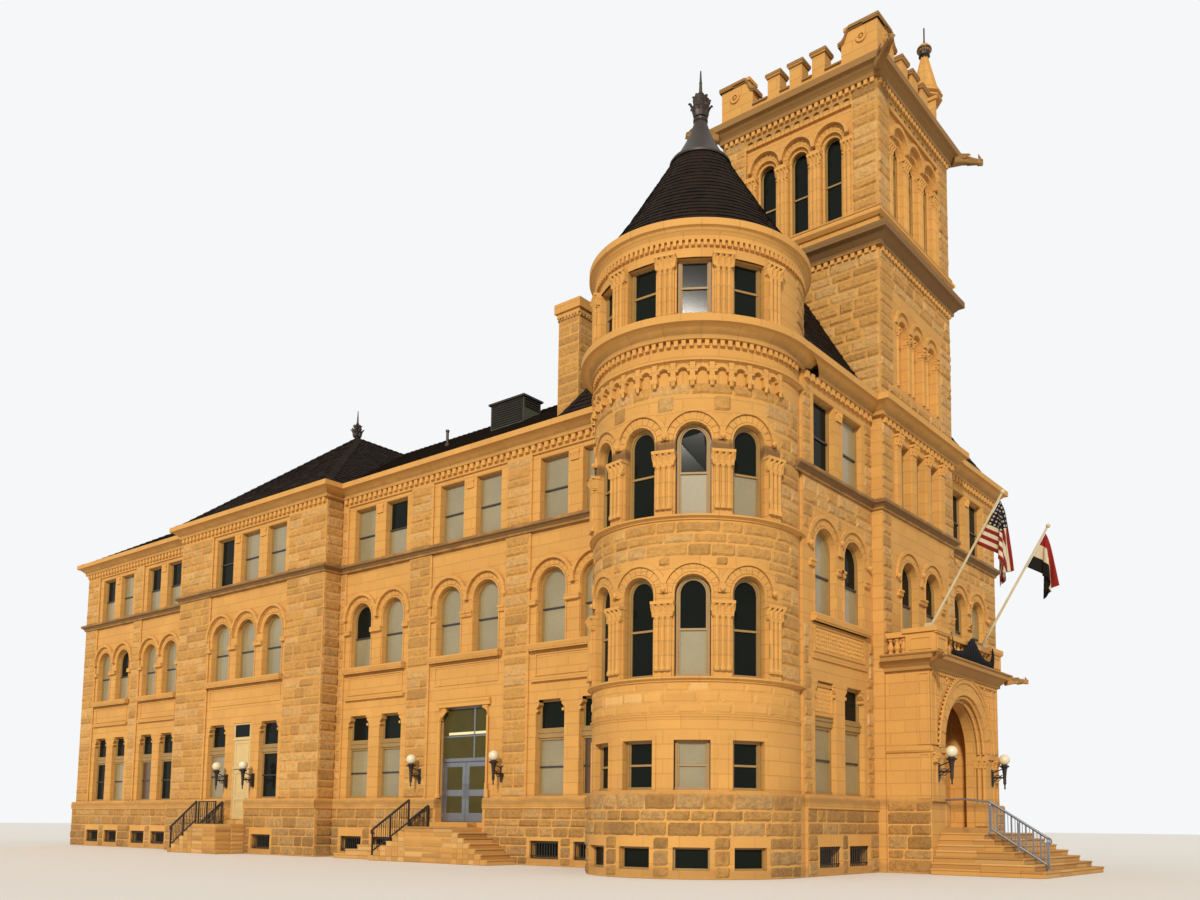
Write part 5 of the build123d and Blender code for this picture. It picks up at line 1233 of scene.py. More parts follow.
def buildTowerDressings():
    dressed, carved = newBatches(2)
    half = belfryWidth / 2
    sunk = 0.10
    for place in towerFaces:
        for k in (-1, 0, 1):
            addArchDress(dressed, place, k * belfryPitch, half, 24.20 - half, 21.08, sunk)
            for side in (-1, 1):
                edge = k * belfryPitch + side * (half - 0.05)
                a, b = place(edge, sunk + 0.12, 21.08), place(edge, sunk + 0.12, 23.8)
                addRod(dressed, a, b, 0.05, 8)
            addRing(dressed, place, k * belfryPitch, 23.8, (half - 0.10, half), (sunk + 0.07, sunk + 0.17))
        for k in (-1.5, -0.5, 0.5, 1.5):
            addShafts(dressed, place, k * belfryPitch, sunk - 0.03, 21.08, 23.30, 0.052, 0.13)
            addCapital(carved, place, k * belfryPitch, sunk - 0.05, 23.30, 23.72, 0.24)
            addBoss(carved, place, k * belfryPitch, sunk - 0.09, 24.05, 0.07)
        pitch = 2 * 2.02 / 11
        for k in range(11):
            s = -2.02 + pitch * (k + 0.5)
            addBox(dressed, place, (s - pitch * 0.28, s + pitch * 0.28), (0.0, 0.12), (24.86, 25.02))
        sill = [(0.02, 20.70), (-0.06, 20.70), (-0.16, 20.80), (-0.16, 20.88), (-0.02, 21.04), (0.02, 21.04)]
        addCourse(carved, place, -2.95, 2.95, sill, 1, 1)
    for k in (-1, 0, 1):
        addVoussoirs(dressed, towerEast, k * 1.20, 17.47, (0.36, 0.50), (-0.02, 0.02), 9)
        for side in (-1, 1):
            addShafts(dressed, towerEast, k * 1.2 + side * 0.42, 0.0, 15.52, 17.2, 0.05, 0.1, 1)
            addCapital(carved, towerEast, k * 1.2 + side * 0.42, -0.03, 17.2, 17.45, 0.10, 1)
    for k in (-1.5, -0.5, 0.5, 1.5):
        addBox(dressed, towerEast, (k * 1.2 - 0.15, k * 1.2 + 0.15), (-0.10, 0.02), (11.44, 13.45))
        addCapital(carved, towerEast, k * 1.2, -0.10, 13.45, 13.80, 0.19)
    addPairDress(dressed, carved, towerEast, pairAxes(0), windowWidth, 0.0, False)
    finishPiece("towerDressings", dressed, towerStone)
    finishPiece("towerCarving", carved, carvedStone)


buildFrontDressings()
buildDentils()
buildTurretDressings()
buildTowerDressings()


# roofs
roofLook = {"exposure": 0.23, "tab": 0.30, "lift": 0.034, "cap": 0.34}
roofMasses = {
    "main": {"x": (-42.85, -8.0), "y": (-0.25, 15.75), "topX": (-34.85, -8.0), "topY": (7.65, 7.85),
             "top": 19.55},
    "block": {"x": (-9.0, 0.10), "y": (-0.25, 15.75), "topX": (-6.10, -2.85), "topY": (3.0, 11.6),
              "top": 19.55},
    "wing": {"x": (-31.82, -20.42), "y": (-1.05, 7.75), "topX": (-26.22, -26.02), "topY": (4.5, 7.75),
             "top": 19.30},
}
roofFoot = 14.65


def profileHeight(v, low, high, top):
    if not low[0] < v < low[1]:
        return 0.0
    if v < high[0]:
        return roofFoot + (top - roofFoot) * (v - low[0]) / (high[0] - low[0])
    if v > high[1]:
        return roofFoot + (top - roofFoot) * (low[1] - v) / (low[1] - high[1])
    return top


def roofHeight(x, y):
    heights = []
    for m in roofMasses.values():
        across = profileHeight(x, m["x"], m["topX"], m["top"])
        heights.append(min(across, profileHeight(y, m["y"], m["topY"], m["top"])))
    return max(heights)


def offTheRoof(x, y, z, reach):
    if -5.5 - reach < x < 0.6 and 4.5 - reach < y < 10.35 + reach:
        return True
    if hypot(x + 3.0, y + 0.6) < (3.0 if z < 16.85 else 3.3) + reach:
        return True
    if -10.15 - reach < x < -9.20 + reach and 1.05 - reach < y < 2.35 + reach and z < 19.0:
        return True
    return -17.2 - reach < x < -15.3 + reach and 4.6 - reach < y < 5.6 + reach


def addTab(batch, corners, normal, lift):
    low0, low1, high1, high0 = corners
    raised = [tuple(p[i] + normal[i] * lift for i in range(3)) for p in (low0, low1)]
    tucked = [tuple(p[i] + normal[i] * 0.004 for i in range(3)) for p in (high1, high0)]
    addFaces(batch, [*raised, *tucked, low0, low1], [(0, 1, 2, 3), (4, 5, 1, 0), (4, 0, 3), (5, 2, 1)])


def addSlope(batch, mass, side, rng):
    m = roofMasses[mass]
    alongX = side in ("south", "north")
    low, high = (m["y"], m["topY"]) if alongX else (m["x"], m["topX"])
    ends, topEnds = (m["x"], m["topX"]) if alongX else (m["y"], m["topY"])
    k = 0 if side in ("south", "west") else 1
    run, rise = high[k] - low[k], m["top"] - roofFoot
    if abs(run) < 0.5:
        return
    length = hypot(run, rise)
    rows = int(length / roofLook["exposure"])
    out = (-rise / length * (1 if run > 0 else -1), abs(run) / length)
    normal = (0.0, out[0], out[1]) if alongX else (out[0], 0.0, out[1])
    for row in range(rows):
        t0, t1 = row / rows, (row + 1) / rows
        middle = (t0 + t1) / 2
        a = ends[0] + (topEnds[0] - ends[0]) * middle
        b = ends[1] + (topEnds[1] - ends[1]) * middle
        s = a - roofLook["tab"] * rng.random()
        while s < b:
            width = roofLook["tab"] * rng.uniform(0.8, 1.2)
            s0, s1 = max(s, a), min(s + width - 0.008, b)
            s += width
            if s1 - s0 < 0.03:
                continue
            corners = []
            for u, t in ((s0, t0), (s1, t0), (s1, t1), (s0, t1)):
                v, z = low[k] + run * t, roofFoot + rise * t
                corners.append((u, v, z) if alongX else (v, u, z))
            x, y, z = (sum(p[i] for p in corners) / 4 for i in range(3))
            if roofHeight(x, y) > z + 0.05 or offTheRoof(x, y, z, 0.14):
                continue
            addTab(batch, corners, normal, roofLook["lift"] * rng.uniform(0.7, 1.2))


def addCaps(batch, a, b):
    d = Vector(b) - Vector(a)
    count = max(1, round(d.length / roofLook["cap"]))
    side = Vector((-d.y, d.x, 0)).normalized() * 0.17
    for k in range(count):
        p = Vector(a) + d * (k / count)
        q = Vector(a) + d * ((k + 1.05) / count)
        middle = (p + q) / 2
        if offTheRoof(middle.x, middle.y, middle.z, 0.2) or roofHeight(middle.x, middle.y) > middle.z + 0.2:
            continue
        points = []
        for c, lift in ((p, 0.065), (q, 0.035)):
            for e in (-side, Vector((0, 0, 0)), side):
                z = min(roofHeight(c.x + e.x, c.y + e.y) or c.z, c.z) if e.length else c.z + 0.03
                points.append((c.x + e.x, c.y + e.y, max(z, c.z - 0.25) + lift))
        points += [(v[0], v[1], v[2] - 0.06) for v in points[:3]]
        addFaces(batch, points, [(0, 1, 4, 3), (1, 2, 5, 4), (6, 7, 1, 0), (7, 8, 2, 1)])


def addHip(batch, mass, i, j):
    m = roofMasses[mass]
    addCaps(batch, (m["x"][i], m["y"][j], roofFoot), (m["topX"][i], m["topY"][j], m["top"]))


def buildMainRoof():
    rng = Random(7)
    batch = newBatch()
    for mass in roofMasses:
        for side in ("south", "north", "east", "west"):
            addSlope(batch, mass, side, rng)
    finishPiece("roofShingles", batch, shingle)
    caps = newBatch()
    ridge = roofMasses["main"]["top"]
    addHip(caps, "main", 0, 0)
    addHip(caps, "main", 0, 1)
    addCaps(caps, (-34.85, 7.75, ridge), (-6.2, 7.75, ridge))
    addHip(caps, "wing", 0, 0)
    addHip(caps, "wing", 1, 0)
    addCaps(caps, (pavilionAxis, 4.5, 19.30), (pavilionAxis, 7.4, 19.30))
    for i, j in ((1, 0), (1, 1), (0, 0), (0, 1)):
        addHip(caps, "block", i, j)
    deck = [(-6.1, 3.0), (-2.85, 3.0), (-2.85, 11.6), (-6.1, 11.6)]
    for k in range(4):
        addCaps(caps, (*deck[k], ridge), (*deck[(k + 1) % 4], ridge))
    finishPiece("roofCaps", caps, shingle)
    saddle = newBatch()
    rows = 22
    for k in range(rows):
        heights = (16.75 + 2.82 * k / rows, 16.75 + 2.82 * (k + 1) / rows)
        for side in (-1, 1):
            edge = []
            for z in heights:
                y = 7.65 - 7.9 * (19.55 - z) / 4.9 if side < 0 else 7.85 + 7.9 * (19.55 - z) / 4.9
                x = -9.0 + 2.9 * (z - roofFoot) / 4.9
                edge.append((x, y, z))
            far = [max(e[0], -8.02) for e in edge]
            if far[1] <= -8.0:
                continue
            spread = [reach + 8.1 for reach in far]
            count = max(1, round(spread[1] / roofLook["tab"]))
            for n in range(count):
                a, b = n / count, (n + 1) / count - 0.01
                corners = [(-8.1 + spread[i] * t, edge[i][1], edge[i][2])
                           for i, t in ((0, a), (0, b), (1, b), (1, a))]
                addTab(saddle, corners, (0, side * 0.527, 0.85), roofLook["lift"])
    addBox(saddle, asGiven, (-8.1, -6.02), (7.60, 7.90), (19.50, 19.60), 6)
    finishPiece("roofSaddle", saddle, shingle)


def buildTurretRoof():
    rng = Random(9)
    batch = newBatch()
    line = [(3.05, 17.40), (2.20, 18.68), (0.84, 20.94)]
    for (r0, z0), (r1, z1) in zip(line, line[1:]):
        length = hypot(r1 - r0, z1 - z0)
        rows = round(length / 0.19)
        for row in range(rows):
            t0, t1 = row / rows, (row + 1) / rows
            ra, rb = r0 + (r1 - r0) * t0, r0 + (r1 - r0) * t1
            za, zb = z0 + (z1 - z0) * t0, z0 + (z1 - z0) * t1
            count = max(10, round(2 * pi * ra / 0.24))
            turn = rng.random()
            for k in range(count):
                a0, a1 = (2 * pi * (k + turn + e) / count for e in (0.02, 0.98))
                lift = roofLook["lift"] * rng.uniform(0.6, 1.1)
                corners = [(turretAxis[0] + r * cos(a), turretAxis[1] + r * sin(a), z)
                           for r, z, a in ((ra, za, a0), (ra, za, a1), (rb, zb, a1), (rb, zb, a0))]
                slope = (z1 - z0) / length
                am = (a0 + a1) / 2
                normal = (cos(am) * slope, sin(am) * slope, (r0 - r1) / length)
                addTab(batch, corners, normal, lift)
    finishPiece("turretShingles", batch, shingle)
    metal = newBatch()
    profile = [(0.93, 0), (0.93, 0.06), (0.88, 0.13), (0.81, 0.15), (0.62, 0.44), (0.47, 0.72), (0.34, 1.0),
               (0.25, 1.25), (0.19, 1.44), (0.22, 1.47), (0.22, 1.54), (0.14, 1.56)]
    addLathe(metal, (*turretAxis, 20.90), profile, 32)
    finials = [(*turretAxis, 22.40, 0.95), (pavilionAxis, 4.50, 19.30, 0.8)]
    for x, y, z, size in finials:
        rings = [(0.20, 0.10, 0.30, 0.02), (0.235, 0.30, 0.56, 0.07), (0.15, 0.60, 0.80, 0.05)]
        for r, low, high, out in rings:
            for k in range(8):
                radial = radialPlace(x, y, 0, 45 * k)
                foot, tip = z + low * size, z + high * size
                addLeaf(metal, radial, 0, -r * size, foot, tip, 0.09 * size, out * size * 1.6)
        for h, r in ((0.66, 0.15), (0.92, 0.10), (1.28, 0.055)):
            addLathe(metal, (x, y, z + h * size), [(r * 0.5 * size, -0.04 * size), (r * size, 0),
                                                                 (r * 0.5 * size, 0.04 * size)], 12)
    finishPiece("roofMetalwork", metal, roofMetal, smooth=True)


def buildRoofFittings():
    stack = newBatch()
    x, y = (-10.15, -9.20), (1.05, 2.35)
    sides = [(wallPlace(x[0], y[0], "south"), 0.95, 15.46), (wallPlace(x[1], y[0], "east"), 1.3, 15.6),
             (wallPlace(x[1], y[1], "north"), 0.95, 16.2), (wallPlace(x[0], y[1], "west"), 1.3, 15.6)]
    for k, (place, width, low) in enumerate(sides):
        addAshlar(stack, place, 0.0, width, low, 18.96, (), 140 + k, (0.010, 0.022))
        addDentils(stack, place, -0.02, width + 0.02, 18.90, 19.02, 0.06, 0.14)
    finishPiece("chimneyBlocks", stack, rockStone)
    metal = newBatch()
    louvres = ((wallPlace(0, 4.6, "south"), -17.15, -15.35),
               (lambda s, d, z: (s, 5.6 - d, z), -17.15, -15.35),
               (wallPlace(-15.3, 0, "east"), 4.65, 5.55),
               (lambda s, d, z: (-17.2 + d, s, z), 4.65, 5.55))
    for place, a, b in louvres:
        z = 17.75
        while z < 18.66:
            if z > (18.35 if a > 0 else 17.7):
                blade = [(0.01, z), (-0.05, z - 0.01), (-0.045, z + 0.012), (0.01, z + 0.07)]
                addCourse(metal, place, a, b, blade)
            z += 0.10
    addBox(metal, asGiven, (-17.28, -15.22), (4.52, 5.68), (18.73, 18.81))
    pipes = [(-30.4, 2.4, 0.07, 0.7), (-19.2, 4.0, 0.06, 0.6), (-22.4, 8.6, 0.08, 0.5),
             (-12.6, 9.2, 0.08, 0.6)]
    for px, py, r, h in pipes:
        z = roofHeight(px, py)
        profile = [(r * 2.4, -0.18), (r * 1.5, 0.06), (r, 0.12), (r, h), (r * 1.35, h + 0.02),
                   (r * 1.35, h + 0.10), (r * 0.4, h + 0.12)]
        addLathe(metal, (px, py, z), profile, 12)
    finishPiece("ventsAndPipes", metal, roofMetal)


buildMainRoof()
buildTurretRoof()
buildRoofFittings()


# tower top
parapetLook = {"out": 2.985, "corner": 27.52}


def addBand(batch, place, line, y, thick):
    # a slab that follows a line of (s, z) along the front
    points = []
    for s, z in line:
        points += [(s, y[0], z), (s, y[1], z), (s, y[1], z + thick), (s, y[0], z + thick)]
    n = 4 * (len(line) - 1)
    faces = [(0, 3, 2, 1), *joinRings(4, len(line) - 1, False), (n, n + 1, n + 2, n + 3)]
    addFaces(batch, points, faces, place)


def addBeast(batch, place, length, root):
    # ears, brow, jaw, throat rings and folded wings of a beast that leans out along -d
    def beast(s, d, h):
        return place(s * root, -length * d, h * root)

    for side in (-1, 1):
        ear = [(side * 0.10, 0.84, 0.30), (side * 0.30, 0.80, 0.52), (side * 0.22, 0.92, 0.22),
               (side * 0.06, 0.86, 0.18)]
        addFaces(batch, ear, [(0, 1, 2), (0, 2, 3), (1, 0, 3), (2, 1, 3)], beast)
        addBoss(batch, beast, side * 0.19, 0.95, 0.12, 0.07 * root)
        for k in range(4):
            z = 0.34 - 0.08 * k
            reach = 0.50 - 0.05 * k
            wing = [(side * 0.34, 0.10, z), (side * 0.40, reach, z + 0.05),
                    (side * 0.36, reach * 1.1, z - 0.10), (side * 0.30, 0.1, z - 0.12)]
            addFaces(batch, wing, [(0, 1, 2, 3)], beast)
    for k in range(5):
        t = 0.52 + 0.06 * k
        r = 0.30 - 0.02 * k
        ring = [(r * cos(a), t, r * 1.2 * sin(a)) for a in (pi * i / 4 for i in range(8))]
        ring += [(p[0] * 1.05, t + 0.025, p[2] * 1.05) for p in ring]
        ring += [(p[0] * 0.96, t + 0.05, p[2] * 0.96) for p in ring[:8]]
        addFaces(batch, ring, joinRings(8, 2, False), beast)
    jaw = [(-0.13, 0.86, -0.16), (0.13, 0.86, -0.16), (0.08, 1.02, -0.20), (-0.08, 1.02, -0.20),
           (-0.10, 0.86, -0.28), (0.10, 0.86, -0.28), (0.05, 1.0, -0.27), (-0.05, 1.0, -0.27)]
    addFaces(batch, jaw, boxFaces, beast)


def buildTowerTop():
    dark, pale = newBatches(2)
    half = parapetLook["out"]
    for place in towerFaces:
        for side in (-1, 1):
            if place is towerEast and side == 1 or place is towerNorth and side == -1:
                continue
            inner = half - 1.28
            z = parapetLook["corner"]
            line = [(half + 0.07, z), (inner + 0.30, z), (inner + 0.22, z - 0.06), (inner + 0.17, z - 0.20),
                    (inner + 0.12, z - 0.33), (inner + 0.03, z - 0.42), (inner - 0.10, z - 0.46)]
            for lift, out, thick in ((-0.14, 0.11, 0.05), (-0.09, 0.14, 0.10)):
                addBand(dark, place, [(side * s, h + lift) for s, h in line], (-out, 0.44), thick)
            s = side * (half - 0.56)
            addRing(pale, place, s, 26.98, (0.10, 0.19), (-0.11, -0.05), 0, 360, 16)
            addBoss(pale, place, s, -0.08, 26.98, 0.07)
        for k in (-1, 0, 1):
            s = k * 0.86
            addBox(dark, place, (s - 0.31, s + 0.31), (-0.13, 0.46), (27.14, 27.24))
            addBox(dark, place, (s - 0.27, s + 0.27), (-0.10, 0.43), (27.07, 27.14))
        floor = [(0.0, 26.40), (-0.12, 26.40), (-0.12, 26.46), (-0.07, 26.49), (0.40, 26.49), (0.40, 26.40)]
        for a, b in ((-1.70, -1.11), (-0.61, -0.25), (0.25, 0.61), (1.11, 1.70)):
            addCourse(dark, place, a, b, floor)
        roll = [(0.0, 25.62), (-0.20, 25.62), (-0.24, 25.66), (-0.20, 25.70), (0.0, 25.70)]
        addCourse(dark, place, -2.925, 2.925, roll, 1, 1)
    root = 2.925 + 0.40 - 0.23
    for k in range(4):
        a = 45 + 90 * k
        x = towerMiddle[0] + root * sqrt(2) * cos(radians(a))
        y = towerMiddle[1] + root * sqrt(2) * sin(radians(a))
        addBeast(dark, radialPlace(x, y, 25.70, a), 1.15, 0.46)
    finishPiece("towerCopings", dark, ledgeStone)
    axis = (-0.20, 9.80)
    for z, r in ((27.79, 0.60), (27.97, 0.62), (28.15, 0.50)):
        collar = [(r - 0.05, -0.03), (r + 0.01, 0.0), (r + 0.01, 0.05), (r - 0.05, 0.08)]
        addLathe(pale, (*axis, z), collar, 8, radians(22.5))
    for k in range(8):
        a = 22.5 + 45 * k
        place = radialPlace(*axis, 0, a)
        foot, top = place(0, -0.475, 28.16), place(0, -0.115, 29.58)
        addRod(pale, foot, top, 0.022, 5)
        addRod(pale, place(0, -0.375, 26.5), place(0, -0.375, 27.78), 0.02, 5)
    for k in range(4):
        place = radialPlace(*axis, 0, 45 * k - 90)
        addPanelFrame(pale, shifted(place, 0, -0.345), -0.12, 0.12, 26.93, 27.72, 0.0, 0.05, 0.02)
    finishPiece("pinnacleMouldings", pale, towerStone)
    knob = newBatch()
    bulb = [(0.13, 0.0), (0.21, 0.06), (0.14, 0.12), (0.19, 0.20), (0.272, 0.28), (0.272, 0.34), (0.20, 0.42),
            (0.10, 0.50), (0.05, 0.56), (0.028, 0.70), (0.028, 1.18)]
    addLathe(knob, (*axis, 29.56), bulb, 16)
    for k in range(8):
        leafPlace = radialPlace(*axis, 0, 45 * k)
        addLeaf(knob, leafPlace, 0, -0.16, 29.66, 29.94, 0.07, 0.06)
    finishPiece("pinnacleKnob", knob, roofMetal, smooth=True)


buildTowerTop()


# porch and balcony
def span(side, a, b):
    # a stretch on one side of an axis, in rising order
    return sorted((side * a, side * b))


def addTube(batch, place, s, z, radius, y, thick, start=0.0, end=180.0, parts=24, sides=6):
    points = []
    for k in range(parts + 1):
        a = radians(start + (end - start) * k / parts)
        for i in range(sides):
            t = 2 * pi * i / sides
            r = radius + thick * cos(t)
            points.append((s + r * cos(a), y + thick * sin(t), z + r * sin(a)))
    addFaces(batch, points, joinRings(sides, parts, False), place)


def addSpray(batch, place, s, y, z, size, turn):
    # a carved leaf of five lobes
    for k in range(5):
        a = turn + radians(-80 + 40 * k)
        reach = size * (1.0 if k == 2 else 0.82)
        tip = (s + reach * sin(a), y - 0.008, z + reach * cos(a))
        bulge = 0.55 * reach
        mid = (s + bulge * sin(a), y - size * 0.26, z + bulge * cos(a))
        w = size * 0.20
        left = (s + bulge * sin(a) - w * cos(a), y - 0.005, z + bulge * cos(a) + w * sin(a))
        right = (s + bulge * sin(a) + w * cos(a), y - 0.005, z + bulge * cos(a) - w * sin(a))
        addFaces(batch, [(s, y - size * 0.1, z), left, tip, right, mid],
                 [(0, 1, 4), (1, 2, 4), (2, 3, 4), (3, 0, 4)], place)
    addBoss(batch, place, s, y - size * 0.08, z, size * 0.16)


def buildPorch():
    dressed, carved = newBatches(2)
    spring = 3.75
    addVoussoirs(dressed, porchFront, 0, spring, (1.79, 2.24), (-0.035, 0.02), 13, 0.9)
    addTube(dressed, porchFront, 0, spring, 1.715, 0.065, 0.052)
    addTube(dressed, porchFront, 0, spring, 1.605, 0.195, 0.052)
    addTube(dressed, porchFront, 0, spring, 2.32, -0.075, 0.035)
    for k in range(44):
        a = radians(180 * (k + 0.5) / 44)
        addBoss(carved, porchFront, 2.38 * cos(a), -0.06, spring + 2.38 * sin(a), 0.042)
    for side in (-1, 1):
        for s, y in ((1.715, 0.065), (1.605, 0.195)):
            addShafts(dressed, porchFront, side * s, y, 2.15, 3.30, 0.05, 0, 1)
            addCapital(carved, porchFront, side * s, y - 0.03, 3.30, 3.60, 0.085, 1)
        addBox(dressed, porchFront, span(side, 1.79, 1.50), (-0.03, 0.30), (1.40, 2.15))
        s0, s1 = span(side, 2.38, 2.80)
        for low, high in ((2.2, 3.56), (3.80, 5.98)):
            addPanelFrame(dressed, porchFront, s0, s1, low, high, 0.0, 0.07, 0.035)
        addCapital(carved, porchFront, side * 2.60, -0.045, 3.28, 3.58, 0.19)
        addBox(dressed, porchFront, span(side, 1.85, 2.80), (-0.06, 0.02), (2.12, 2.20))
    rng = Random(4)
    z = 5.0
    while z < 5.98:
        s = -2.26
        while s < 2.3:
            reach = hypot(s, z - spring)
            if 2.50 < reach and z < 5.92:
                addSpray(carved, porchFront, s, 0.0, z, 0.125, rng.uniform(-3.1, 3.1))
            s += 0.205
        z += 0.20
    for s in (-1.6, -1.0, -0.5, 0.5, 1.0, 1.6):
        if hypot(s, 5.85 - spring) > 2.55:
            addBoss(carved, porchFront, s, -0.03, 5.90, 0.05)
    for place, a, b in ((porchSouth, 0.36, 1.75), (porchNorth, -1.75, -0.36)):
        outer = b if place is porchSouth else a
        sign = -1 if place is porchSouth else 1
        for low, high in ((2.2, 3.56), (3.80, 5.98)):
            s0, s1 = sorted((outer, outer + sign * 0.40))
            addPanelFrame(dressed, place, s0, s1, low, high, 0.0, 0.06, 0.03)
        band = [(0.02, 3.58), (-0.05, 3.58), (-0.09, 3.64), (-0.05, 3.68), (-0.05, 3.76), (0.02, 3.76)]
        addCourse(dressed, place, a, b, band)
    lip = [(0.02, 6.46), (-0.43, 6.46), (-0.46, 6.49), (-0.43, 6.53), (0.02, 6.53)]
    cove = [(0.02, 6.03), (-0.06, 6.03), (-0.10, 6.08), (-0.06, 6.12), (0.02, 6.12)]
    edge = newBatch()
    for profile in (lip, cove):
        addCourse(edge, porchFront, -2.825, 2.825, profile, 1, 1)
        addCourse(edge, porchSouth, 0.36, 1.75, profile, 0, 1)
        addCourse(edge, porchNorth, -1.75, -0.36, profile, 1, 0)
    finishPiece("balconyEdge", edge, balconyStone)
    addDentils(carved, porchFront, -2.8, 2.8, 5.95, 6.04, 0.075, 0.17)
    finishPiece("porchMouldings", dressed, dressedStone)
    beasts = newBatch()
    for y, turn in ((4.60 - 0.40 + 0.135, -45), (10.25 + 0.40 - 0.135, 45)):
        addBeast(beasts, radialPlace(porchFace + 0.40 - 0.135, y, 6.05 + 0.28, turn), 0.80, 0.315)
    finishPiece("porchBeasts", beasts, ledgeStone)
    for y0 in (4.60, 9.30):
        place = wallPlace(1.95, y0, "east")
        addPanelFrame(carved, place, 0.12, 0.83, 6.66, 7.06, 0.0, 0.06, 0.025)
        for z in (6.52, 7.13):
            addBox(carved, place, (-0.04, 0.99), (-0.05, 0.02), (z, z + 0.06))
    side = wallPlace(1.95 - 0.95, 4.60, "south")
    addPanelFrame(carved, side, 0.12, 0.83, 6.66, 7.06, 0.0, 0.06, 0.025)
    finishPiece("porchCarving", carved, carvedStone)


def buildMainDoor():
    wood, glass = newBatches(2)
    place = shifted(towerEast, 0, 0.30)
    for side in (-1, 1):
        for a, b in ((0.02, 0.16), (0.90, 1.06)):
            addBox(wood, place, span(side, a, b), (-0.05, 0.01), (1.40, 3.52))
        for low, high in ((1.40, 1.62), (2.28, 2.44), (3.36, 3.52)):
            addBox(wood, place, span(side, 0.16, 0.90), (-0.045, 0.01), (low, high))
        addBox(wood, place, span(side, 0.28, 0.78), (-0.03, 0.01), (1.74, 2.16))
        addPane(glass, place, side * 0.53, 0.35, 2.46, 3.34, -0.02)
        addRod(wood, place(side * 0.10, -0.10, 2.1), place(side * 0.10, -0.10, 2.5), 0.018, 8)
    addBox(wood, place, (-1.07, 1.07), (-0.09, 0.01), (3.52, 3.70))
    addPane(glass, place, 0, 1.0, 3.72, 4.92, -0.02, True)
    for a in (45, 90, 135):
        r = radians(a)
        addRod(wood, place(0, -0.03, 3.92), place(cos(r), -0.03, 3.92 + sin(r)), 0.022, 6)
    addRing(wood, place, 0, 3.92, (0.94, 1.06), (-0.06, 0.01))
    addRing(wood, place, 0, 3.92, (0.30, 0.36), (-0.05, 0.0))
    finishPiece("mainDoorJoinery", wood, oak)
    glassPieces.append(finishPiece("mainDoorGlass", glass, doorGlass))


buildPorch()
buildMainDoor()


# side entrance and pavilion door
def buildSideEntrance():
    stone, metal, glass, strip = newBatches(4)
    addShafts(stone, south, -14.64, 0.0, 2.22, 4.98, 0.075, 0, 1)
    addCapital(stone, south, -14.66, -0.03, 4.98, 5.40, 0.13, 2)
    for k in range(4):
        addLeaf(stone, south, -14.52 + 0.07 * k, 0.0, 5.06 + 0.06 * k, 5.30 + 0.03 * k, 0.05, 0.05)
    addRod(stone, south(-12.17, -0.01, 2.22), south(-12.17, -0.01, 5.06), 0.04, 8)
    addBoxes(stone, south, ((-12.20, -12.04), (-0.07, 0.0), (2.22, 2.50)),
             ((-12.20, -12.10), (-0.06, 0.0), (2.50, 2.72)), ((-14.74, -12.06), (-0.05, 0.02), (5.42, 5.52)))
    lintel = [(0.02, 5.52), (-0.05, 5.52), (-0.09, 5.60), (-0.05, 5.66), (0.02, 5.66)]
    addCourse(stone, south, -14.74, -12.06, lintel)
    y = 0.20
    for s in (-14.58, -12.22):
        addBox(metal, south, (s - 0.018, s + 0.018), (y - 0.03, y + 0.02), (1.40, 5.05))
    addBoxes(metal, south, ((-14.6, -12.2), (y - 0.03, y + 0.02), (3.50, 3.60)),
             ((-13.02, -12.95), (y - 0.025, y + 0.02), (3.62, 5.36)),
             ((-14.6, -12.2), (y - 0.02, y + 0.02), (4.36, 4.41)))
    addPane(glass, south, -13.40, 1.17, 3.62, 5.36, y - 0.012)
    addBox(strip, south, (-14.30, -12.40), (y - 0.022, y - 0.012), (4.44, 4.53))
    finishPiece("sideEntranceStone", stone, carvedStone)
    finishPiece("sideEntranceMetal", metal, greyMetal)
    glassPieces.append(finishPiece("sideTransomGlass", glass, doorGlass))
    finishPiece("transomLightStrip", strip, stripGlow)
    for sign, body in ((-1, "side_door_left_leaf"), (1, "side_door_right_leaf")):
        bars, leafPanes = newBatches(2)
        hinge = -13.40 + sign * 1.14
        width = 1.14 - 0.008
        for low, high in ((1.67, 2.30), (2.48, 3.33)):
            a, b = sorted((hinge - sign * 0.15, hinge - sign * (width - 0.15)))
            addPanelFrame(bars, south, a, b, low, high, y + 0.012, 0.022, 0.006)
            half = (b - a) / 2 - 0.02
            addPane(leafPanes, south, (a + b) / 2, half, low + 0.02, high - 0.02, y + 0.012, False, 0.006)
        s = hinge - sign * (width - 0.075)
        addRod(bars, south(s, y - 0.055, 2.18), south(s, y - 0.055, 2.72), 0.016, 10)
        for z in (2.22, 2.68):
            addRod(bars, south(s, y - 0.055, z), south(s, y, z), 0.012, 8)
        a, b = sorted((hinge - sign * 0.05, hinge - sign * (width - 0.04)))
        addBox(bars, south, (a, b), (y - 0.006, y + 0.002), (1.42, 1.60))
        addBox(bars, south, sorted((s - 0.03, s + 0.03)), (y - 0.008, y + 0.002), (2.86, 2.98))
        hand = "Left" if sign < 0 else "Right"
        finishPiece("sideLeafTrim" + hand, bars, greyMetal, body)
        glassPieces.append(finishPiece("sideLeafGlass" + hand, leafPanes, doorGlass, body))


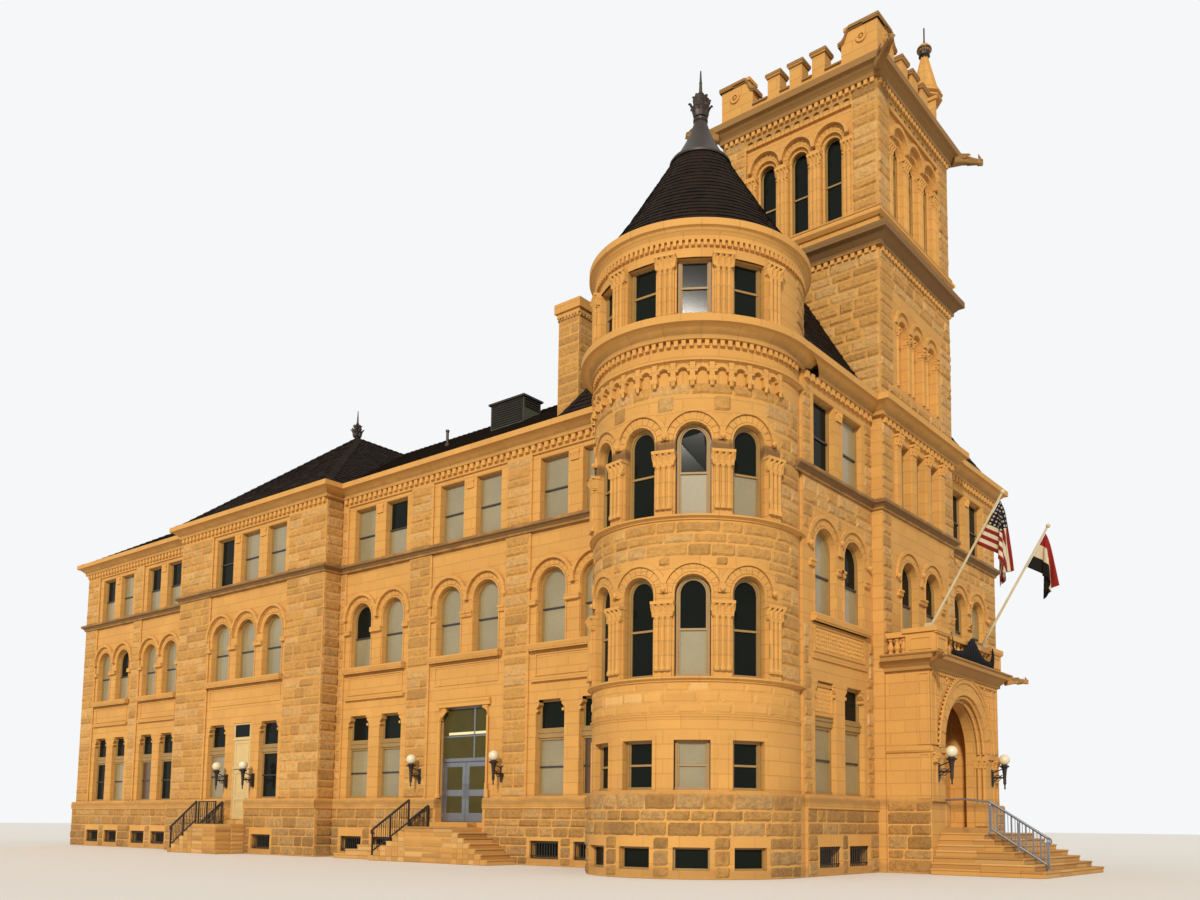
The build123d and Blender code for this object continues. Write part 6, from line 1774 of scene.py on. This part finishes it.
def buildPavilionDoor():
    wood, glass, trim = newBatches(3)
    y = 0.12
    for s in (-0.628, 0.628):
        addBox(wood, pavilion, (s - 0.022, s + 0.022), (y - 0.035, y + 0.02), (1.40, 5.40))
    for z in ((3.50, 3.60), (4.70, 4.78)):
        addBox(wood, pavilion, (-0.65, 0.65), (y - 0.04, y + 0.02), z)
    addPanelFrame(wood, pavilion, -0.50, 0.50, 3.70, 4.62, y, 0.06, 0.02)
    addPanelFrame(wood, pavilion, -0.59, 0.59, 4.78, 5.40, y, 0.05, 0.03)
    addPane(glass, pavilion, 0, 0.54, 4.83, 5.35, y - 0.014)
    hinge, width = -0.59, 1.18 - 0.016
    for low, high in ((1.60, 2.20), (2.34, 3.33)):
        a, b = hinge + 0.17, hinge + width - 0.17
        addPanelFrame(trim, pavilion, a, b, low + 0.02, high - 0.02, y + 0.018, 0.035, 0.012)
        addBox(trim, pavilion, (a + 0.13, b - 0.13), (y + 0.006, y + 0.02), (low + 0.14, high - 0.14))
    s = hinge + width - 0.07
    addRod(trim, pavilion(s, y, 2.27), pavilion(s, y - 0.07, 2.27), 0.014, 8)
    addRod(trim, pavilion(s + 0.01, y - 0.07, 2.27), pavilion(s - 0.13, y - 0.07, 2.27), 0.013, 8)
    addBox(trim, pavilion, (s - 0.03, s + 0.03), (y - 0.006, y + 0.002), (2.17, 2.37))
    finishPiece("pavilionDoorFrameTrim", wood, cream)
    finishPiece("pavilionLeafTrim", trim, cream, "pavilion_door_leaf")
    glassPieces.append(finishPiece("pavilionTopLight", glass, paintedRoomShadeGlass))


def buildGrilles():
    batch = newBatch()
    places = [(south, s) for _, s, _, r, _, front in flatWindows if front == "south" and "basement" in r]
    places += [(pavilion, -pavilionPitch), (pavilion, pavilionPitch)]
    places += [(east, s) for s in (1.40, 3.20, 11.70, 13.50)]
    for place, s in places:
        count = 11
        for k in range(count):
            at = s - 0.58 + 1.16 * k / (count - 1)
            addRod(batch, place(at, -0.06, 0.20), place(at, -0.06, 0.83), 0.014, 6)
        for z in (0.30, 0.72):
            addBox(batch, place, (s - 0.64, s + 0.64), (-0.075, -0.045), (z, z + 0.03))
    finishPiece("basementGrilles", batch, ironPaint)


def buildLamps():
    iron, globes = newBatches(2)
    spots = [(south, -15.60), (south, -11.40), (pavilion, -1.0), (pavilion, 1.0),
             (porchFront, -2.3), (porchFront, 2.3)]
    for place, s in spots:
        x, y, z = place(s, -0.42, 3.6)
        ball = [(0.178 * sin(pi * k / 10) + 0.001, -0.178 * cos(pi * k / 10)) for k in range(11)]
        addLathe(globes, (x, y, z), ball, 20)
        torch = [(0.012, -0.98), (0.03, -0.94), (0.02, -0.90), (0.035, -0.80), (0.055, -0.55), (0.075, -0.34),
                 (0.10, -0.26), (0.15, -0.24), (0.16, -0.20), (0.10, -0.18), (0.09, -0.14)]
        addLathe(iron, (x, y, z), torch, 14)
        back = 0.07 if place is pavilion else 0.0
        addBox(iron, place, (s - 0.075, s + 0.075), (-0.03, back), (2.72, 3.28))
        for a, b in (((-0.02, 3.18), (-0.36, 3.30)), ((-0.02, 2.86), (-0.34, 3.10))):
            addRod(iron, place(s, a[0], a[1]), place(s, b[0], b[1]), 0.018, 8)
        turned = (lambda u, v, w, place=place, s=s: place(s + v, u, w))
        addTube(iron, turned, -0.18, 3.0, 0.10, 0.0, 0.013, 0, 320, 14)
    finishPiece("lampBrackets", iron, ironPaint, smooth=True)
    finishPiece("lampGlobes", globes, globeGlass, smooth=True)


buildSideEntrance()
buildPavilionDoor()
buildGrilles()
buildLamps()


# steps and railings
stairLook = {"floor": 1.37, "risers": 8, "tread": 0.32, "rightTread": 0.27, "porchStart": 1.3}
stairRise = stairLook["floor"] / stairLook["risers"]
stairTop = stairLook["floor"] - stairRise


def addStepStones(batch, place, a, b, top, rng):
    # blocks of one step: a riser face and a nosing that stands a little over it
    nosing = [(0.20, top - 0.045), (-0.035, top - 0.045), (-0.045, top - 0.02), (-0.03, top + 0.008),
              (0.20, top + 0.010)]
    for s0, s1 in stonesOf(a, b, (0.9, 1.5), 0.5, rng):
        low, high = s0 + 0.006, s1 - 0.006
        addBox(batch, place, (low, high), (-0.012, 0.05), (top - stairRise + 0.008, top - 0.05))
        addCourse(batch, place, low, high, nosing)


def addPlainStones(batch, place, a, b, z0, z1, rng):
    for stone in stonesOf(a, b, (0.6, 1.1), 0.4, rng):
        addRock(batch, place, stone, (z0, z1), (0.010, 0.018), rng)


def buildSteps():
    rng = Random(15)
    batch = newBatch()
    rise, top, tread = stairRise, stairTop, stairLook["tread"]
    for k in range(7):
        edge = porchFace + stairLook["porchStart"] + tread * k
        level = stairLook["floor"] - rise * (k + 1)
        y0, y1 = porchSides[0] + 0.6 - 0.13 * k, porchSides[1] - 0.6 + 0.13 * k
        addStepStones(batch, wallPlace(edge, 0, "east"), y0, y1, level, rng)
        addStepStones(batch, wallPlace(0, y0, "south"), 1.76, edge, level, rng)
        addStepStones(batch, wallPlace(0, y1, "north"), -edge, -1.76, level, rng)
    x0, x1, y0 = -14.60, -12.20, -1.45
    front = wallPlace(0, y0, "south")
    addStepStones(batch, front, x0, x1, top, rng)
    for row in range(1, 7):
        addPlainStones(batch, front, x0, x1, top - rise * (row + 1) + 0.001, top - rise * row, rng)
    for k in range(1, 7):
        level = top - rise * k
        left, right = x0 - tread * k, x1 + stairLook["rightTread"] * k
        wallY = -0.95 if k >= 4 else -0.14
        addStepStones(batch, wallPlace(left, 0, "west"), -wallY, 1.45, level, rng)
        addStepStones(batch, wallPlace(right, 0, "east"), -1.45, -0.14, level, rng)
        for row in range(7 - k):
            z = level - rise * row
            addBox(batch, front, (left + 0.01, left + 0.31), (-0.014, 0.05), (z - rise + 0.01, z - 0.01))
            addBox(batch, front, (right - 0.26, right - 0.01), (-0.014, 0.05), (z - rise + 0.01, z - 0.01))
    for k, reach in enumerate((4.6, 3.9, 3.2)):
        level = rise * (k + 1)
        end = x0 - tread * (6 - k)
        addStepStones(batch, wallPlace(0, -0.95, "south"), x0 - reach, end, level, rng)
        addStepStones(batch, wallPlace(x0 - reach, 0, "west"), 0.14, 0.95, level, rng)
    px, py = pavilionAxis, pavilionFront - 1.45
    face = wallPlace(0, py, "south")
    side = wallPlace(px + 0.85, 0, "east")
    for row in range(7):
        z = top - rise * row
        for a, b in ((px - 0.85, px - 0.05), (px - 0.05, px + 0.85)):
            addRock(batch, face, (a, b), (z - rise, z), (0.012, 0.03), rng)
        addRock(batch, side, (py, py + 0.7), (z - rise, z), (0.012, 0.03), rng)
        addRock(batch, side, (py + 0.7, pavilionFront - 0.13), (z - rise, z), (0.012, 0.03), rng)
    for k in range(1, 7):
        level = top - rise * k
        left = px - 0.85 - tread * k
        addStepStones(batch, wallPlace(left, 0, "west"), 0.93, -py, level, rng)
        for row in range(7 - k):
            z = level - rise * row
            addBox(batch, face, (left + 0.01, left + 0.31), (-0.014, 0.05), (z - rise + 0.01, z - 0.01))
    finishPiece("stepStones", batch, stepStone)


def addRail(batch, top, foot, y):
    # handrail, scrolled ends, collars and foot plates of one sloping railing
    h = 0.90

    def at(t, z, d=0.0):
        u = top[0] + (foot[0] - top[0]) * t + d
        v = top[1] + (foot[1] - top[1]) * t
        return (u, y, v + z)
    addRod(batch, at(0, h + 0.02), at(1, h + 0.02), 0.034, 8)
    step = 1 if foot[0] > top[0] else -1
    end = at(1, h + 0.02)
    turned = (lambda u, d, w, step=step, end=end: (end[0] + step * u, end[1] + d, end[2] + w))
    addTube(batch, turned, 0.0, -0.09, 0.09, 0.0, 0.026, -150, 90, 12)
    for t in (0, 0.5, 1):
        x, yy, z = at(t, 0)
        addLathe(batch, (x, yy, z), [(0.05, 0.0), (0.05, 0.02), (0.034, 0.05)], 8)
        addLathe(batch, (x, yy, z + h), [(0.036, -0.10), (0.046, -0.07), (0.036, -0.04)], 8)
    for k in range(8):
        x, yy, z = at((k + 0.5) / 8, 0)
        addRod(batch, (x, yy, z + 0.16), (x, yy, z + h), 0.011, 5)


def buildRailings():
    iron, grey = newBatches(2)
    rise, top, tread = stairRise, stairTop, stairLook["tread"]
    x0 = -14.6
    addRail(iron, (x0 + 0.1, top), (x0 - tread * 6 + 0.1, top - rise * 6), -1.38)
    addRail(iron, (x0 - 0.22, top - rise), (x0 - tread * 4 + 0.1, top - rise * 4), -0.25)
    p0 = pavilionAxis - 0.85
    for y in (-2.18, -1.05):
        addRail(iron, (p0 + 0.1, top), (p0 - tread * 6 + 0.1, top - rise * 6), y)
    foot = porchFace + stairLook["porchStart"] + tread * 6
    addRail(grey, (porchFace + 1.4, top), (foot - 0.2, rise), 5.5)
    x, y = porchFace + 1.4, 5.5
    addRod(grey, (x, y, top + 0.92), (x - 0.75, y, top + 1.0), 0.03, 8)
    addRod(grey, (x - 0.75, y, top + 1.0), (porchFace, y, top + 0.98), 0.03, 8)
    length = foot - 0.2 - x
    for k in range(9):
        at = (x + length * k / 8, y, top + (rise - top) * k / 8)
        half = 0.034 if k % 4 == 0 else 0.02
        low = 0.0 if k % 4 == 0 else 0.14
        addBox(grey, asGiven, (at[0] - half, at[0] + half), (y - half, y + half), (at[2] + low, at[2] + 0.90))
    addRod(grey, (x, y, top + 0.15), (foot - 0.2, y, rise + 0.15), 0.034, 8)
    finishPiece("handrails", iron, ironPaint)
    finishPiece("porchHandrail", grey, greyMetal)


buildSteps()
buildRailings()


# flags and bunting
flagLook = {
    "striped": {"y": 5.15, "high": 4.20, "low": 2.80, "length": 2.15, "seed": 1.0},
    "tricolour": {"y": 9.50, "high": 4.20, "low": 3.00, "length": 1.80, "seed": 2.2},
}
poleLean = radians(31)
poleFoot = (1.55, 7.37)
clothLook = {"rows": 22, "columns": 34, "lastFrame": 70, "thickness": 0.003}
clothSettings = {
    "quality": 10, "mass": 0.12, "tension_stiffness": 40, "compression_stiffness": 40, "shear_stiffness": 12,
    "bending_stiffness": 0.04, "air_damping": 2.0, "vertex_group_mass": "hoist",
}


def polePoint(y, along):
    x = poleFoot[0] + along * sin(poleLean)
    return Vector((x, y, poleFoot[1] + along * cos(poleLean)))


def makeFlag(name, look, material):
    rows, columns = clothLook["rows"], clothLook["columns"]
    top, foot = polePoint(look["y"], look["high"]), polePoint(look["y"], look["low"])
    out = Vector((cos(poleLean), 0, -sin(poleLean)))
    hoist = (foot - top).length
    verts, uvs = [], []
    for i in range(rows + 1):
        for j in range(columns + 1):
            u, v = i / rows, j / columns
            p = top + (foot - top) * u + out * (0.055 + look["length"] * v)
            p.y += 0.03 * sin(9 * v + 5 * u + look["seed"]) * min(1, 4 * v)
            verts.append(p)
            uvs.append((v, 1 - u))
    mesh = newMesh(name, verts, gridFaces(rows, columns), material)
    layer = mesh.uv_layers.new(name="cloth")
    for loop in mesh.loops:
        layer.data[loop.index].uv = uvs[loop.vertex_index]
    cloth = newObject(name, mesh)
    edge = [i * (columns + 1) for i in range(rows + 1)]
    held = cloth.vertex_groups.new(name="hoist")
    held.add(edge, 1.0, "REPLACE")
    held.add([i + 1 for i in edge], 0.5, "REPLACE")
    sim = cloth.modifiers.new("hang", "CLOTH")
    for key, value in clothSettings.items():
        setattr(sim.settings, key, value)
    sim.collision_settings.use_self_collision = True
    sim.collision_settings.self_distance_min = 0.006
    sim.point_cache.frame_start = 1
    sim.point_cache.frame_end = clothLook["lastFrame"]
    return cloth, hoist


def meshNow(piece, graph):
    return bpy.data.meshes.new_from_object(piece.evaluated_get(graph))


def thickenCloth(cloth):
    thicken = cloth.modifiers.new("weave", "SOLIDIFY")
    thicken.thickness = clothLook["thickness"]
    solid = meshNow(cloth, bpy.context.evaluated_depsgraph_get())
    cloth.modifiers.clear()
    cloth.data = solid
    solid.shade_smooth()
    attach(cloth, "house")


def hangFlags():
    made = []
    flags = (("stripedFlagCloth", "striped", stripedCloth, "striped_flag"),
             ("tricolourFlagCloth", "tricolour", tricolourCloth, "tricolour_flag"))
    for name, key, material, nodeName in flags:
        made.append((*makeFlag(name, flagLook[key], material), flagLook[key], nodeName))
    scene = bpy.context.scene
    scene.frame_end = clothLook["lastFrame"]
    for step in range(1, scene.frame_end + 1):
        scene.frame_set(step)
    graph = bpy.context.evaluated_depsgraph_get()
    for cloth, hoist, look, nodeName in made:
        hung = meshNow(cloth, graph)
        cloth.modifiers.clear()
        cloth.data = hung
        thickenCloth(cloth)
        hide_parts(nodeName)
    scene.frame_set(1)
    print("flags hung")


buntingLook = {
    "columns": 120, "rows": 10, "ends": (5.60, 9.25), "out": 2.035, "foot": 6.53, "head": 6.78, "hump": 0.56,
    "horn": 0.50, "pleats": 17, "pleat": 0.022, "sag": 0.05, "cut": (4.0, 0.86),
}


def makeBunting():
    look = buntingLook
    columns, rows = look["columns"], look["rows"]
    y0, y1 = look["ends"]
    verts = []
    for j in range(columns + 1):
        t = j / columns
        hump = exp(-((t - 0.5) / 0.17) ** 2)
        horn = exp(-(t / 0.045) ** 2) + exp(-((1 - t) / 0.045) ** 2)
        low = look["foot"] + 0.02 * sin(9 * t)
        high = look["head"] + look["hump"] * hump + look["horn"] * horn
        for i in range(rows + 1):
            u = i / rows
            pleat = look["pleat"] * sin(2 * pi * t * look["pleats"]) * (0.35 + 0.65 * (1 - u))
            sag = look["sag"] * sin(pi * u)
            verts.append((look["out"] + pleat + sag, y0 + (y1 - y0) * t, low + (high - low) * u))
    n = rows + 1
    faces = [(j * n + i, (j + 1) * n + i, (j + 1) * n + i + 1, j * n + i + 1)
             for j in range(columns) for i in range(rows)]
    mesh = newMesh("buntingCloth", verts, faces, navyCloth)
    cloth = newObject("buntingCloth", mesh)
    thickenCloth(cloth)
    flat = tuple(side * modelScale for side in look["cut"])
    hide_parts("bunting")


hangFlags()
makeBunting()

# stage, light and camera
stageLook = {
    "floor": "#E9E4DA", "sunTurn": -62.0, "sunHeight": 24.0, "sunStrength": 3.0, "sunSpread": 6.0,
    "sunColour": (1.0, 0.93, 0.82), "skyColour": (0.93, 0.95, 1.0, 1), "skyStrength": 0.55,
    "backColour": (0.92, 0.93, 0.94, 1), "backStrength": 1.0,
}
cameraLook = {
    "sensor": 36, "lens": 31.33, "shift": (-0.032, 0.229), "far": 500,
    "yaw": 0.663, "pitch": 0.094, "roll": 0.010,
    "eye": (6.925, -12.457, 0.697),  # scene metres
}


def makeFloor():
    batch = newBatch()
    addBox(batch, asGiven, (-260, 220), (-260, 260), (-0.5, -0.004))
    material, _, shader = newMaterial("studioFloor", 0.9)
    shader.inputs["Base Color"].default_value = srgb(stageLook["floor"])
    newObject("studioFloor", newMesh("studioFloor", batch["verts"], batch["faces"], material))


def makeWorld():
    world = bpy.data.worlds.new("studioWorld")
    world.use_nodes = True
    bpy.context.scene.world = world
    tree = world.node_tree
    soft = tree.nodes["Background"]
    soft.inputs["Color"].default_value = stageLook["skyColour"]
    soft.inputs["Strength"].default_value = stageLook["skyStrength"]
    white = tree.nodes.new("ShaderNodeBackground")
    white.inputs["Color"].default_value = stageLook["backColour"]
    white.inputs["Strength"].default_value = stageLook["backStrength"]
    path = tree.nodes.new("ShaderNodeLightPath")
    seen = plus(tree, path.outputs["Is Camera Ray"], path.outputs["Is Glossy Ray"], clamp=True)
    seen = plus(tree, seen, path.outputs["Is Transmission Ray"], clamp=True)
    mix = tree.nodes.new("ShaderNodeMixShader")
    tree.links.new(seen, mix.inputs[0])
    tree.links.new(soft.outputs[0], mix.inputs[1])
    tree.links.new(white.outputs[0], mix.inputs[2])
    tree.links.new(mix.outputs[0], tree.nodes["World Output"].inputs["Surface"])


def makeSun():
    light = bpy.data.lights.new("softSun", "SUN")
    light.energy = stageLook["sunStrength"]
    light.angle = radians(stageLook["sunSpread"])
    light.color = stageLook["sunColour"]
    lamp = newObject("softSun", light)
    turn = radians(stageLook["sunTurn"])
    height = radians(stageLook["sunHeight"])
    d = (cos(height) * cos(turn), cos(height) * sin(turn), sin(height))
    lamp.rotation_euler = Vector(d).to_track_quat("Z", "Y").to_euler()


def makeCamera():
    data = bpy.data.cameras.new("photoView")
    data.sensor_width = cameraLook["sensor"]
    data.lens = cameraLook["lens"]
    data.shift_x, data.shift_y = cameraLook["shift"]
    data.clip_end = cameraLook["far"]
    camera = newObject("photoView", data)
    yaw, pitch, roll = (cameraLook[key] for key in ("yaw", "pitch", "roll"))
    forward = Vector((-sin(yaw) * cos(pitch), cos(yaw) * cos(pitch), sin(pitch)))
    flat = Vector((cos(yaw), sin(yaw), 0))
    up = flat.cross(forward)
    right = cos(roll) * flat + sin(roll) * up
    up = -sin(roll) * flat + cos(roll) * up
    turn = Matrix((right, up, -forward)).transposed()
    camera.matrix_world = Matrix.Translation(cameraLook["eye"]) @ turn.to_4x4()
    bpy.context.scene.camera = camera


makeFloor()
makeWorld()
makeSun()
makeCamera()
bpy.context.scene.view_settings.view_transform = "Standard"
print("stage set")
